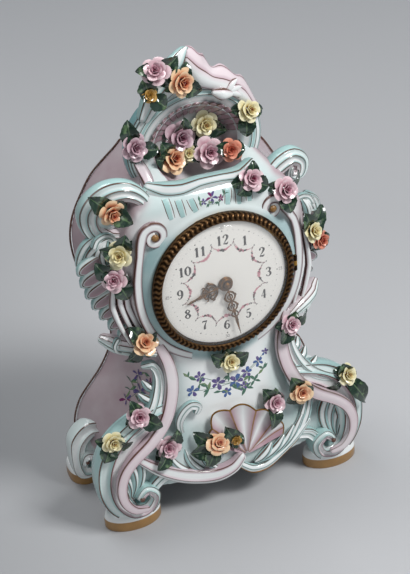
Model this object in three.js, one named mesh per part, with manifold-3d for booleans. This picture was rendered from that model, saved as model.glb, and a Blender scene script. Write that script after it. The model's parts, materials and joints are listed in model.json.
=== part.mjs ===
import * as THREE from 'three';
import { mergeVertices } from 'three/addons/utils/BufferGeometryUtils.js';
import Module from 'manifold-3d';

const wasm = await Module();
wasm.setup();

// A rococo porcelain mantel clock, in millimetres. +Z is up and the dial faces -Y.
// Sizes of the whole and of the case
const dialHeight = 200;
const glazeWall = 5.5;
const seatFace = -42;
const backFace = 37;
const frontOpening = 48;
const rearOpening = 44;
const cavityTop = 66;
const cavityFloor = 16;
const clearance = 0.3;

// Feet
const frontFoot = { x: 90, y: -40, alongX: 24, alongY: 15, height: 15 };
const backFoot = { x: 106, y: 38, alongX: 14, alongY: 18, height: 15 };

// Niche and crest over the dial
const nicheRise = 101;
const nicheHalfWidth = 47;
const nicheHalfHeight = 40;
const nicheRim = 9;

// Bezel, glass and dial
const dialRadius = 51.5;
const sightMargin = 1.1;
const bezelWidth = 6.4;
const bezelSight = dialRadius + sightMargin;
const bezelRadius = bezelSight + bezelWidth;
const bezelHeight = 9;
const bezelWall = 1.2;
const glassThickness = 1.2;
const glassRise = 2.8;
const seatThickness = 1.2;
const dialThickness = 1.4;
const dialDome = 0.6;
const dialBore = 4;
const handGap = 1;
const handThickness = 0.7;
const hourHandLength = 34;
const minuteHandLength = 47;
const pinRadius = 0.8;
const knuckleRadius = 1.9;
const knuckleLength = 4;

// Movement: plates, wheels and arbors
const plateThickness = 2;
const plateSpacing = 26;
const frontPlateRadius = 46;
const backPlateRadius = 38;
const pillarRadius = 2.4;
const pillarCircle = 32;
const arborRadius = 0.75;
const pivotRadius = 0.45;
const runningGap = 0.15;
const wheelThickness = 1.2;
const pinionLength = 3;
const centerArborRadius = 0.7;
const greatWheel = { teeth: 36, module: 0.8 };
const centerGear = { teeth: 48, module: 0.55 };
const thirdGear = { teeth: 45, module: 0.5 };
const fourthGear = { teeth: 36, module: 0.5 };
const minuteGear = { teeth: 18, module: 0.8 };
const hourGear = { teeth: 24, module: 0.64 };
const pinionLeaves = 6;
const escapeTeeth = 15;
const escapeRadius = 6;
const ratchetTeeth = 12;
const ratchetRadius = 9;
const barrelRadius = 13;
const barrelWall = 1;
const barrelDepth = 18;
const barrelHub = 3.2;
const windingRadius = 1.6;
const springThickness = 0.5;
const balanceRadius = 9;
const balanceRise = 4;
const cockRise = 12;
const cockThickness = 2;
const keyReach = 26;
const keyWing = 9;
const knobRadius = 5;
const knobReach = 22;

// Back of the case
const ringFlange = 49;
const ringBore = 35;
const ringThickness = 1.3;
const ringCollar = 7;
const doorRadius = 37.5;
const doorThickness = 1.2;
const screwRadius = 1.2;
const screwHead = 2.2;
const screwCircle = 40.3;

// Time shown
const hourShown = 8;
const minuteShown = 28;

const finishes = {
  porcelain: { color: 0xe6ecea, roughness: 0.2, metalness: 0 },
  flowers: { color: 0xe3b3b4, roughness: 0.3, metalness: 0 },
  gilt: { color: 0x6b5128, roughness: 0.45, metalness: 0.9 },
  enamel: { color: 0xf4f1ea, roughness: 0.2, metalness: 0 },
  glass: { color: 0xffffff, roughness: 0.05, metalness: 0 },
  brass: { color: 0xb58a3c, roughness: 0.35, metalness: 1 },
  steel: { color: 0x8c9096, roughness: 0.3, metalness: 1 },
  bronze: { color: 0x3d2c1b, roughness: 0.4, metalness: 0.9 },
};

const model = new THREE.Group();
const front = new THREE.Vector3(0, -1, 0);
const up = (rise) => dialHeight + rise;
const radians = THREE.MathUtils.degToRad;

// Solids

// A closed geometry becomes a solid with shared corners and its faces outward
function solid(geometry) {
  const bare = new THREE.BufferGeometry();
  bare.setAttribute('position', geometry.getAttribute('position'));
  if (geometry.index) bare.setIndex(geometry.index);
  const merged = mergeVertices(bare, 1e-4);
  const points = merged.getAttribute('position');
  const corner = [new THREE.Vector3(), new THREE.Vector3(), new THREE.Vector3()];
  const triangles = [];
  let volume = 0;
  for (let i = 0; i < merged.index.count; i += 3) {
    const ids = [0, 1, 2].map((k) => merged.index.getX(i + k));
    if (new Set(ids).size < 3) continue;
    triangles.push(ids);
    ids.forEach((id, k) => corner[k].fromBufferAttribute(points, id));
    volume += corner[0].dot(corner[1].clone().cross(corner[2]));
  }
  if (volume < 0) triangles.forEach((ids) => ids.reverse());
  const mesh = new wasm.Mesh({
    numProp: 3,
    vertProperties: Float32Array.from(points.array),
    triVerts: Uint32Array.from(triangles.flat()),
  });
  return new wasm.Manifold(mesh);
}

const joined = (parts) => wasm.Manifold.union(parts);

// Small offcuts left by a cut are dropped, so that one piece of clay or metal remains
function largestPiece(body) {
  return body.decompose().reduce((best, piece) => (piece.volume() > best.volume() ? piece : best));
}

function addPart(name, body, finish) {
  const mesh = body.getMesh();
  const geometry = new THREE.BufferGeometry();
  geometry.setAttribute('position', new THREE.BufferAttribute(mesh.vertProperties, 3));
  geometry.setIndex(new THREE.BufferAttribute(mesh.triVerts, 1));
  geometry.computeVertexNormals();
  const part = new THREE.Mesh(geometry, new THREE.MeshStandardMaterial(finishes[finish]));
  part.name = name;
  model.add(part);
  return body;
}

// Rings of points joined in order, closed by a fan at each end or back to the start
function loft(rings, looped = false) {
  const sides = rings[0].length;
  const positions = rings.flat().flatMap((p) => [p.x, p.y, p.z]);
  const faces = [];
  const spans = looped ? rings.length : rings.length - 1;
  for (let r = 0; r < spans; r += 1) {
    const next = (r + 1) % rings.length;
    for (let s = 0; s < sides; s += 1) {
      const t = (s + 1) % sides;
      faces.push(r * sides + s, r * sides + t, next * sides + t);
      faces.push(r * sides + s, next * sides + t, next * sides + s);
    }
  }
  if (!looped) {
    [0, rings.length - 1].forEach((r, end) => {
      const centre = new THREE.Vector3();
      rings[r].forEach((p) => centre.addScaledVector(p, 1 / sides));
      const hub = positions.length / 3;
      positions.push(centre.x, centre.y, centre.z);
      for (let s = 0; s < sides; s += 1) {
        const t = (s + 1) % sides;
        faces.push(hub, r * sides + (end ? s : t), r * sides + (end ? t : s));
      }
    });
  }
  const geometry = new THREE.BufferGeometry();
  geometry.setAttribute('position', new THREE.Float32BufferAttribute(positions, 3));
  geometry.setIndex(faces);
  return solid(geometry);
}

// A turned body on an axis along Y, through (x, z): its profile is [radius, y]
function turned(profile, segments, x = 0, z = 0, stretch = 1) {
  const outline = profile.map(([radius, y]) => new THREE.Vector2(radius, y));
  const geometry = new THREE.LatheGeometry(outline, segments);
  geometry.scale(1, 1, stretch);
  geometry.translate(x, 0, z);
  return solid(geometry);
}

// A disc or rod along Y from yFront to yBack
function rod(radius, yFront, yBack, x, z, segments = 10) {
  return turned([[0, yFront], [radius, yFront], [radius, yBack], [0, yBack]], segments, x, z);
}

function tubeRing(outer, inner, yFront, yBack, x, z, segments = 24) {
  const profile = [[inner, yFront], [outer, yFront], [outer, yBack], [inner, yBack], [inner, yFront]];
  return turned(profile, segments, x, z);
}

// A hole that stays clear of a shaft although both are faceted
function hole(shaft, yFront, yBack, x, z, segments = 10) {
  const radius = (shaft + clearance) / Math.cos(Math.PI / segments);
  return rod(radius, yFront, yBack, x, z, segments);
}

// A plate cut from an outline in the dial's plane, from yFront to yBack
function plate(shape, yFront, yBack, x = 0, z = 0, curveSegments = 6) {
  const depth = yBack - yFront;
  const geometry = new THREE.ExtrudeGeometry(shape, { depth, bevelEnabled: false, curveSegments });
  geometry.rotateX(Math.PI / 2);
  geometry.translate(x, yBack, z);
  return solid(geometry);
}

function upright(radius, zLow, zHigh, x, y, segments = 10) {
  const geometry = new THREE.CylinderGeometry(radius, radius, zHigh - zLow, segments);
  geometry.rotateX(Math.PI / 2);
  geometry.translate(x, y, (zLow + zHigh) / 2);
  return solid(geometry);
}

function block(x0, x1, y0, y1, z0, z1) {
  const geometry = new THREE.BoxGeometry(x1 - x0, y1 - y0, z1 - z0);
  geometry.translate((x0 + x1) / 2, (y0 + y1) / 2, (z0 + z1) / 2);
  return solid(geometry);
}

function bead(radius, x, y, z, flatten = 1) {
  const geometry = new THREE.SphereGeometry(radius, 6, 4);
  geometry.rotateX(Math.PI / 2);
  geometry.scale(1, flatten, 1);
  geometry.translate(x, y, z);
  return solid(geometry);
}

// A moulded roll: each point is [x, y, z, half width, half depth], joined by a smooth curve
function roll(points, { refine = 1, sides = 5, looped = false, facing = front } = {}) {
  const path = points.map(([x, y, z]) => new THREE.Vector3(x, y, z));
  const curve = new THREE.CatmullRomCurve3(path, looped, 'centripetal');
  const spans = looped ? points.length : points.length - 1;
  const steps = spans * refine;
  const rings = [];
  for (let i = 0; i < steps + (looped ? 0 : 1); i += 1) {
    const u = i / steps;
    const at = Math.min(Math.floor(i / refine), spans - 1);
    const blend = i / refine - at;
    const [, , , w0, d0] = points[at];
    const [, , , w1, d1] = points[(at + 1) % points.length];
    const width = THREE.MathUtils.lerp(w0, w1, blend);
    const depth = THREE.MathUtils.lerp(d0, d1, blend);
    const centre = curve.getPoint(u);
    const tangent = curve.getTangent(u);
    const out = facing.clone().addScaledVector(tangent, -facing.dot(tangent)).normalize();
    const across = tangent.clone().cross(out);
    const ring = [];
    for (let s = 0; s < sides; s += 1) {
      const angle = (s / sides) * 2 * Math.PI;
      const point = centre.clone().addScaledVector(across, width * Math.cos(angle));
      ring.push(point.addScaledVector(out, depth * Math.sin(angle)));
    }
    rings.push(ring);
  }
  return loft(rings, looped);
}

// The spiral end of a scroll, wound in from its outer turn to its eye
function volute([x, y, z], radius, startDegrees, sweepDegrees, depth) {
  const step = 72;
  const count = Math.round(Math.abs(sweepDegrees) / step);
  const points = [];
  for (let i = 0; i <= count; i += 1) {
    const share = i / count;
    const angle = radians(startDegrees + sweepDegrees * share);
    const reach = radius * (1 - 0.68 * share);
    const width = radius * (0.42 - 0.16 * share);
    points.push([x + reach * Math.cos(angle), y, z + reach * Math.sin(angle), width, depth]);
  }
  return points;
}

const mirrored = (points) => points.map(([x, ...rest]) => [-x, ...rest]);

// Case

// Each station is [height, half width at the back edge, half width at the front corner,
// front face, back face]. The lower ones stand on the ground, the upper ones on the dial centre.
const lowerStations = [
  [30, 108, 76, -54, backFace],
  [44, 109, 75, -54, backFace],
  [60, 108, 69, -52, backFace],
  [78, 101, 60, -49, backFace],
  [98, 84, 54, -46, backFace],
  [114, 74, 51, -44, backFace],
  [131, 69, 51, -42, backFace],
];
const upperStations = [
  [-50, 72, 57, -41, backFace],
  [-25, 84, 68, -40, backFace],
  [0, 91, 75, -40, backFace],
  [24, 94, 78, -40, backFace],
  [44, 90, 76, -40, backFace],
  [63, 80, 67, -40, backFace],
  [76, 71, 57, -35, backFace],
  [85, 61, 50, -20, backFace],
  [94, 50, 43, -2, backFace],
  [105, 39, 36, 7, backFace],
  [116, 26, 25, 8, backFace - 3],
  [124, 13, 12, 9, backFace - 8],
];
const caseStations = [...lowerStations, ...upperStations.map(([rise, ...rest]) => [up(rise), ...rest])];

// One plan outline: flat back, drawn-in side walls and a bowed front
function planRing([z, back, corner, face, rear], inset = 0) {
  const wide = back - inset;
  const narrow = corner - inset;
  const yFront = face + inset;
  const yBack = rear - inset;
  const yCorner = THREE.MathUtils.lerp(yFront, yBack, 0.2);
  const bow = 0.75;
  const half = [[wide, yBack]];
  [0.5].forEach((t) => {
    const x = THREE.MathUtils.lerp(wide, narrow, Math.sin((t * Math.PI) / 2));
    half.push([x, THREE.MathUtils.lerp(yBack, yCorner, t)]);
  });
  [0, 32, 60].forEach((degrees) => {
    const x = narrow * Math.cos(radians(degrees)) ** bow;
    const y = yCorner - (yCorner - yFront) * Math.sin(radians(degrees)) ** bow;
    half.push([x, y]);
  });
  const rightSide = half.map(([x, y]) => new THREE.Vector3(x, y, z));
  const leftSide = half.map(([x, y]) => new THREE.Vector3(-x, y, z)).reverse();
  return [...rightSide, new THREE.Vector3(0, yFront, z), ...leftSide];
}

function caseShell() {
  return loft(caseStations.map((station) => planRing(station)));
}

function caseCavity() {
  const inside = caseStations.filter(([z]) => z < up(cavityTop));
  const floor = [cavityFloor, ...inside[0].slice(1)];
  const roof = [up(cavityTop), ...inside[inside.length - 1].slice(1)];
  return loft([floor, ...inside, roof].map((station) => planRing(station, glazeWall)));
}

// The round boss that carries the bezel
function dialDrum() {
  const skirt = bezelRadius + 12;
  const profile = [[0, seatFace], [bezelRadius + 1.5, seatFace], [skirt, seatFace + 7], [skirt, -20], [0, -20]];
  return turned(profile, 22, 0, dialHeight);
}

function ellipseRing(cx, cy, z, rx, ry, count) {
  const ring = [];
  for (let i = 0; i < count; i += 1) {
    const angle = (i / count) * 2 * Math.PI;
    ring.push(new THREE.Vector3(cx + rx * Math.cos(angle), cy + ry * Math.sin(angle), z));
  }
  return ring;
}

function footPad({ x, y, alongX, alongY, height }, side) {
  const levels = [[0, 1], [height * 0.6, 1], [height, 0.9]];
  return loft(levels.map(([z, size]) => ellipseRing(side * x, y, z, alongX * size, alongY * size, 12)));
}

// Front legs: heavy volutes that sweep out from the waist and curl in over the feet
function frontLeg(side) {
  const { x, y } = frontFoot;
  const sweep = [
    [x - 34, y - 2, 99, 8, 8],
    [x - 10, y - 2, 90, 13, 11],
    [x + 8, y - 1, 73, 15, 13],
    [x + 16, y - 1, 49, 14, 14],
    [x + 12, y - 2, 26, 12, 13],
    [x + 1, y - 3, 14, 9, 13],
    [x - 12, y - 5, 17, 7, 12],
    [x - 16, y - 7, 28, 5.5, 11],
    [x - 9, y - 9, 35, 4.5, 10],
    [x - 3, y - 10, 29, 3.5, 9],
  ];
  const tongue = [
    [x - 14, y - 6, 28, 5, 6],
    [x - 24, y - 9, 40, 5, 6],
    [x - 38, y - 11, 43, 4, 5],
    [x - 46, y - 12, 39, 2, 3],
  ];
  const rolls = [sweep, tongue].map((points) => roll(side < 0 ? mirrored(points) : points));
  const web = bead(21, side * (x - 3), y + 3, 42, 0.5);
  return [...rolls, web];
}

function backLeg(side) {
  const { x, y } = backFoot;
  const sweep = [
    [x - 18, y - 10, 48, 6, 9],
    [x - 6, y - 11, 53, 8, 11],
    [x + 5, y - 11, 44, 8, 12],
    [x + 8, y - 12, 28, 7, 12],
    [x + 4, y - 13, 15, 7, 12],
    [x - 5, y - 14, 16, 5.5, 11],
    [x - 6, y - 16, 26, 4.5, 10],
    [x + 1, y - 18, 31, 3.5, 9],
    [x + 4, y - 18, 25, 2.5, 8],
  ];
  const web = bead(13, side * (x + 1), y - 10, 30, 0.6);
  return [roll(side < 0 ? mirrored(sweep) : sweep), web];
}

// Long C-scrolls beside the dial, each with a spiral eye at its upper end
function dialScroll(side) {
  const depth = 3.2;
  const y = seatFace + 4;
  const along = (degrees, beyond, width, thick = depth) => {
    const reach = bezelRadius + beyond;
    return [reach * Math.cos(radians(degrees)), y, up(reach * Math.sin(radians(degrees))), width, thick];
  };
  const band = [
    along(-84, 9.4, 2.5, 2),
    along(-67, 8.2, 3.5),
    along(-47, 8.2, 4),
    along(-26.5, 8.1, 4.2),
    along(-7, 8, 4.4),
    along(12.6, 9.7, 4.4),
    along(29.6, 14, 4),
  ];
  const [eyeX, , eyeHeight] = side < 0 ? along(43.9, 11.7) : along(46.8, 8.2);
  const eye = [eyeX, y, eyeHeight];
  const points = [...band, ...volute(eye, side < 0 ? 10 : 9, 0, 420, depth)];
  const placed = side < 0 ? mirrored(points) : points;
  const button = bead(2.6, side * eye[0], y - depth + 0.6, eye[2]);
  return [roll(placed, { sides: 4 }), button];
}

// Rolled shoulders over the side walls
function shoulderRolls() {
  const left = [
    [-48, -24, up(76), 4, 4],
    [-57, -22, up(83), 6, 6],
    [-71, -19, up(84), 8, 8],
    [-85, -17, up(78), 9, 9],
    [-91, -16, up(67), 7, 8],
    [-83, -18, up(60), 5.5, 7],
    [-73, -20, up(62), 4, 6],
    [-72, -21, up(69), 3, 5],
  ];
  const right = [
    [34, -25, up(70), 4, 5],
    [49, -22, up(69), 6.5, 7],
    [62, -19, up(74), 7, 8],
    [75, -17, up(78), 6.5, 8],
    [83, -16, up(70), 5.5, 6],
    [79, -17, up(62), 4.5, 5],
    [72, -18, up(66), 3, 4],
  ];
  return [roll(left), roll(right), bead(12, -77, -12, up(70), 0.6)];
}

// Shell wings on the flanks: a scrolled rim with a row of lobes inside it
function flankShell(side) {
  const drawn = side < 0 ? 0 : 6;
  const drop = side < 0 ? 0 : 7;
  const rim = [
    [94, -19, 48, 5, 5],
    [101, -15, 38, 5, 5],
    [104, -12, 22, 5, 6],
    [103, -11, 4, 4.5, 6],
    [98, -13, -12, 4, 5],
    [90, -17, -27, 3.5, 5],
    [83, -21, -39, 3, 4],
  ].map(([x, y, rise, w, d]) => [x - drawn, y, up(rise - drop), w, d]);
  const eye = [86 - drawn, -22, up(47 - drop)];
  const curled = [...volute(eye, 8, 0, 360, 4).reverse(), ...rim];
  const parts = [roll(side < 0 ? mirrored(curled) : curled, { sides: 4 })];
  const lobes = 4;
  for (let i = 0; i < lobes; i += 1) {
    const share = i / (lobes - 1);
    const height = up(THREE.MathUtils.lerp(31, -33, share) - drop);
    const reach = 100 - drawn - 4 * (share * 2 - 0.6) ** 2 - 12 * share ** 2;
    const size = 9.5 - 2.5 * share;
    const lobe = [
      [72, -32, height + 4, 4, 4],
      [reach - 4, -20, height - 1, size, 6],
      [reach + 3, -13, height - 2, size * 0.8, 4],
    ];
    parts.push(roll(side < 0 ? mirrored(lobe) : lobe, { sides: 4 }));
  }
  return parts;
}

// Scrolls from the waist down to the legs, framing the painted front panel
function waistScrolls(side) {
  const leaf = [
    [91, -14, up(-43), 4, 5],
    [84, -22, up(-44), 6.5, 7],
    [72, -33, up(-45), 6, 6],
    [58, -39, up(-50), 3.5, 4],
  ];
  const pilaster = [
    [57, -41, 153, 3.5, 3],
    [51, -42, 131, 4.5, 3.5],
    [52, -45, 108, 4.5, 4],
    [59, -48, 91, 4.5, 4.5],
    [73, -51, 78, 4.5, 5],
    [88, -52, 70, 4, 5],
  ];
  return [leaf, pilaster].map((points) => roll(side < 0 ? mirrored(points) : points, { sides: 4 }));
}

// The lower edge of the front: a rolled band on the left and a leafy border on the right
function apron() {
  const band = [
    [-68, -49, 46, 4, 5],
    [-56, -52, 37, 5, 6],
    [-40, -55, 31, 6, 6],
    [-22, -57, 30, 6.5, 6],
    [-6, -58, 35, 6, 6],
    [1, -58, 43, 4, 5],
  ];
  const border = [
    [-2, -57, 35, 4, 5],
    [8, -58, 28, 5, 6],
    [22, -58, 26, 5.5, 6],
    [37, -56, 33, 5, 6],
    [52, -53, 43, 5, 5],
    [66, -49, 54, 4, 5],
  ];
  const curl = [
    [-44, -46, 80, 3, 4],
    [-43, -48, 92, 4, 4],
    [-35, -48, 100, 4, 4],
    [-27, -48, 97, 3.5, 4],
    [-30, -48, 91, 2.5, 3],
  ];
  return [band, border, curl].map((points) => roll(points));
}

// The scalloped shell at the middle of the apron
function apronShell() {
  const root = [8, -57, 46];
  const tips = [[-21, 83], [-7, 94], [9, 95], [25, 84], [39, 66]];
  return tips.map(([x, z]) => roll([
    [root[0], root[1] + 3, root[2], 4, 4],
    [x, -53, z, 9, 6],
    [x + (x - root[0]) * 0.15, -49, z + (z - root[2]) * 0.15, 5, 4],
  ], { sides: 4 }));
}

// The arched niche: a dished back inside a raised oval frame
const nicheStretch = nicheHalfHeight / nicheHalfWidth;

function niche() {
  const height = up(nicheRise);
  const back = [[0, -6], [nicheHalfWidth, -6], [nicheHalfWidth, 12], [0, 12]];
  const frame = [];
  const count = 16;
  for (let i = 0; i < count; i += 1) {
    const angle = (i / count) * 2 * Math.PI;
    const x = nicheHalfWidth * Math.cos(angle);
    const z = height + nicheHalfHeight * Math.sin(angle);
    frame.push([x, 0, z, nicheRim, nicheRim]);
  }
  return [turned(back, 16, 0, height, nicheStretch), roll(frame, { looped: true })];
}

// The hollow of the niche, wider at its mouth
function nicheBowl() {
  const bowl = [[0, 5], [19, 4], [30, 0], [34, -6], [36, -24], [0, -24]];
  return turned(bowl, 16, 0, up(nicheRise), nicheStretch);
}

function ledge() {
  return roll([
    [-46, -21, up(84), 6, 6],
    [-37, -26, up(80), 8, 8],
    [-20, -29, up(78), 7, 8],
    [0, -30, up(79), 6.5, 8],
    [20, -28, up(79), 6.5, 8],
    [36, -22, up(81), 6, 6],
  ]);
}

// The asymmetric plume that crowns the niche, with its heights over the arch
const overArch = (above) => up(nicheRise + nicheHalfHeight + above);

function crest() {
  const plume = [
    [-38, -6, overArch(-7), 6, 6],
    [-28, -7, overArch(6), 9, 7],
    [-15, -6, overArch(17), 10, 7],
    [-6, -4, overArch(26), 7, 6],
    [-1, -2, overArch(35), 2, 3],
  ];
  const trail = [
    [-2, -2, overArch(31), 3, 4],
    [4, -4, overArch(17), 8, 6],
    [14, -5, overArch(5), 7, 6],
    [27, -6, overArch(-3), 6, 6],
    [38, -5, overArch(-14), 5, 5],
    [47, -3, overArch(-28), 4, 5],
  ];
  return [roll(plume), roll(trail), bead(8, 23, -7, overArch(-1))];
}

function porcelainCase() {
  const main = joined([caseShell(), dialDrum(), ...niche()]).subtract(nicheBowl());
  const raised = [main, ledge(), ...crest(), ...shoulderRolls(), ...apron(), ...apronShell()];
  [-1, 1].forEach((side) => {
    raised.push(footPad(frontFoot, side), footPad(backFoot, side), ...frontLeg(side), ...backLeg(side));
    raised.push(...dialScroll(side), ...flankShell(side), ...waistScrolls(side));
  });
  const opening = rod(frontOpening, seatFace - 20, 0, 0, dialHeight, 22);
  const access = rod(rearOpening, 0, backFace + 20, 0, dialHeight, 22);
  const mouth = rod(bezelRadius + 10, seatFace - 20, seatFace, 0, dialHeight, 22);
  return largestPiece(joined(raised).subtract(joined([caseCavity(), opening, access, mouth])));
}

const caseBody = addPart('porcelain_case', porcelainCase(), 'porcelain');

// Flowers

const clay = new THREE.Mesh(model.children[0].geometry, new THREE.MeshBasicMaterial({ side: THREE.DoubleSide }));
const caster = new THREE.Raycaster();

// The foremost clay within reach of (x, z) on the front of the case
function seatOn(x, z, reach = 4) {
  let best = null;
  [[0, 0], [1, 0], [-1, 0], [0, 1], [0, -1]].forEach(([dx, dz]) => {
    caster.set(new THREE.Vector3(x + dx * reach, seatFace * 4, z + dz * reach), new THREE.Vector3(0, 1, 0));
    const [hit] = caster.intersectObject(clay);
    if (hit && (!best || hit.point.y < best.y)) best = { y: hit.point.y, normal: hit.face.normal.clone() };
  });
  return best ?? seatOn(x * 0.96, z, reach + 1);
}

// A rose: rings of petals round an axis that leans out from the clay, up and to the front
function rose([x, z, radius]) {
  const { y, normal } = seatOn(x, z);
  const axis = normal.addScaledVector(front, 0.8).add(new THREE.Vector3(x * 0.002, 0, 0.5)).normalize();
  const centre = new THREE.Vector3(x, y, z).addScaledVector(axis, radius * 0.3);
  const across = new THREE.Vector3(0, 0, 1).cross(axis).normalize();
  const rise = axis.clone().cross(across);
  const rings = [[-0.6, 0.6, 0], [0.3, 1, 0.08], [0.75, 0.72, 0.06], [0.5, 0.3, 0]];
  const petals = 6;
  return loft(rings.map(([height, size, wave], level) => {
    const ring = [];
    for (let i = 0; i < petals; i += 1) {
      const angle = ((i + level * 0.4) / petals) * 2 * Math.PI;
      const reach = radius * size * (1 + wave * (i % 2 ? 1 : -1));
      const point = centre.clone().addScaledVector(axis, radius * height);
      point.addScaledVector(across, reach * Math.cos(angle));
      ring.push(point.addScaledVector(rise, reach * Math.sin(angle)));
    }
    return ring;
  }));
}

// A leaf that lies along the clay from its rose to a tip
function leaf([roseX, roseZ], [tipX, tipZ]) {
  const place = (share, width, thickness, lift) => {
    const x = THREE.MathUtils.lerp(roseX, tipX, share);
    const z = THREE.MathUtils.lerp(roseZ, tipZ, share);
    return [x, seatOn(x, z).y - lift, z, width, thickness];
  };
  return roll([place(0, 2, 0.9, 3), place(0.65, 4, 0.8, 2.6), place(1, 1, 0.5, 2)], { sides: 3 });
}

// The rolled clay that ties one rose to the next
function stem([x0, z0], [x1, z1]) {
  const points = [0, 0.5, 1].map((share) => {
    const x = THREE.MathUtils.lerp(x0, x1, share);
    const z = THREE.MathUtils.lerp(z0, z1, share);
    return [x, seatOn(x, z).y - 2.5, z, 3, 2.2];
  });
  return roll(points, { sides: 4 });
}

// Room that a spray keeps to the clay under it
const seatShifts = [[0, 0, 0], [0, -1, 0]];

function spray(name, blooms, leafTips) {
  const parts = blooms.map(rose);
  blooms.slice(1).forEach((bloom, k) => parts.push(stem(blooms[k], bloom)));
  leafTips.forEach((tip) => {
    const nearest = blooms.reduce((best, bloom) => {
      const reach = Math.hypot(bloom[0] - tip[0], bloom[1] - tip[1]);
      return reach < Math.hypot(best[0] - tip[0], best[1] - tip[1]) ? bloom : best;
    });
    parts.push(leaf(nearest, tip));
  });
  const flowers = joined(parts);
  const { min, max } = flowers.boundingBox();
  const margin = 2;
  const reach = min.map((low, k) => [low - margin, max[k] + margin]).flat();
  const near = caseBody.intersect(block(...reach));
  const bed = joined(seatShifts.map((shift) => near.translate(shift.map((v) => v * clearance))));
  return addPart(name, largestPiece(flowers.subtract(bed)), 'flowers');
}

// Each bloom is [x, height, radius] and each leaf tip [x, height], on the front of the case
const underBezel = (distance) => up(-bezelRadius - distance);
const sprays = {
  crest_roses: [
    [[-30, overArch(25), 9.5], [-14, overArch(14), 9.5]],
    [[-16, overArch(30)], [-28, overArch(2)], [0, overArch(5)]],
  ],
  niche_bouquet: [
    [[-10, up(104), 12], [11, up(111), 10], [23, up(97), 9.5], [8, up(91), 10], [-20, up(89), 10]],
    [[-8, up(121)], [-32, up(94)], [34, up(88)], [26, up(110)]],
  ],
  niche_left_rose: [[[-51, up(110), 10]], [[-58, up(128)], [-36, up(106)]]],
  niche_right_rose: [[[41, up(119), 9.5]], [[41, up(102)]]],
  ledge_rose: [[[29, up(76), 9.5]], [[40, up(70)], [18, up(70)]]],
  left_shoulder_rose: [[[-79, up(72), 10]], [[-91, up(84)], [-66, up(63)]]],
  right_shoulder_rose: [[[56, up(61), 10]], [[72, up(70)], [59, up(46)]]],
  left_flank_roses: [[[-77, up(38), 10], [-83, up(20), 9.5]], [[-72, up(52)], [-93, up(33)], [-76, up(4)]]],
  right_flank_roses: [[[80, up(18), 9], [92, up(4), 7.5]], [[75, up(33)], [92, up(30)]]],
  left_waist_rose: [[[-67, up(-40), 10]], [[-76, up(-26)], [-80, up(-48)]]],
  right_waist_rose: [[[55, underBezel(-4), 8.5]], [[68, up(-46)], [47, underBezel(7)]]],
  center_rose: [[[1, underBezel(14), 8.5]], [[-12, underBezel(5)], [15, underBezel(11)]]],
  left_side_rose: [[[-80, 104, 9.5]], [[-66, 95]]],
  left_foot_rose: [[[-104, 88, 9]], [[-92, 88], [-110, 74]]],
  base_left_rose: [[[-57, 65, 9.5]], [[-69, 55], [-50, 80]]],
  base_center_rose: [[[-20, 61, 9.5]], [[-34, 73], [-6, 70], [-28, 46]]],
  shell_rose: [[[36, 79, 9]], [[28, 92], [29, 63]]],
  right_base_rose: [[[58, 86, 9.5]], [[52, 98], [66, 88]]],
  right_foot_rose: [[[101, 86, 9]], [[86, 84], [116, 58], [108, 96]]],
};
Object.entries(sprays).forEach(([name, [blooms, leafTips]]) => spray(name, blooms, leafTips));

// Planes of the clock's works, from the dial back

const dialBack = seatFace - 3.5;
const dialFront = dialBack - dialThickness;
const hourBack = dialFront - dialDome - 0.7;
const minuteBack = hourBack - handThickness - handGap;
const nutBack = minuteBack - handThickness - clearance;
const seatBack = seatFace - clearance;
const seatFront = seatBack - seatThickness;
const movementFront = seatFace + 8;
const frontInside = movementFront + plateThickness;
const backInside = frontInside + plateSpacing;
const movementBack = backInside + plateThickness;
const layers = { center: 2, great: 5, third: 9.5, fourth: 13.5, escape: 17.5 };
const motionLayers = { minute: 3, hour: 6 };
const collarRadius = frontOpening - 0.8;

const polar = ([x, z], distance, degrees) => [
  x + distance * Math.cos(radians(degrees)),
  z + distance * Math.sin(radians(degrees)),
];
// A bar in the dial's plane from one point to another, with its half width at each
function tapered(from, fromHalf, to, toHalf) {
  const degrees = THREE.MathUtils.radToDeg(Math.atan2(to[1] - from[1], to[0] - from[0]));
  return new THREE.Shape([
    new THREE.Vector2(...polar(from, fromHalf, degrees - 90)),
    new THREE.Vector2(...polar(to, toHalf, degrees - 90)),
    new THREE.Vector2(...polar(to, toHalf, degrees + 90)),
    new THREE.Vector2(...polar(from, fromHalf, degrees + 90)),
  ]);
}

const middle = [0, dialHeight];
const gearDistance = ({ teeth, module }, leaves) => (module * (teeth + leaves)) / 2;

// Directions from each wheel to the pinion that it drives
const barrelAngle = 200;
const thirdAngle = 60;
const fourthAngle = -25;
const escapeAngle = -80;
const palletAngle = -100;
const balanceAngle = -125;
const minuteAngle = 135;
const barrelAt = polar(middle, gearDistance(greatWheel, pinionLeaves), barrelAngle);
const thirdAt = polar(middle, gearDistance(centerGear, pinionLeaves), thirdAngle);
const fourthAt = polar(thirdAt, gearDistance(thirdGear, pinionLeaves), fourthAngle);
const escapeAt = polar(fourthAt, gearDistance(fourthGear, pinionLeaves), escapeAngle);
const palletAt = polar(escapeAt, escapeRadius + 2.2, palletAngle);
const balanceAt = polar(palletAt, 9.5, balanceAngle);
const minuteAt = polar(middle, gearDistance(minuteGear, pinionLeaves), minuteAngle);
const screwsAt = [polar(middle, screwCircle, 90), polar(middle, screwCircle, -90)];

const boreSegments = 6;
const boreRadius = (shaft) => (shaft + runningGap) / Math.cos(Math.PI / boreSegments);

// Bezel, glass and dial

const round = 20;

function knuckle(x, y, zLow, zHigh, lugX, lugFront, lugBack) {
  const barrel = upright(knuckleRadius, zLow, zHigh, x, y, 6);
  const lug = block(Math.min(x, lugX), Math.max(x, lugX), lugFront, lugBack, zLow, zHigh);
  const bore = upright(boreRadius(pinRadius), zLow - 1, zHigh + 1, x, y, boreSegments);
  return joined([barrel, lug]).subtract(bore);
}

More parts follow.
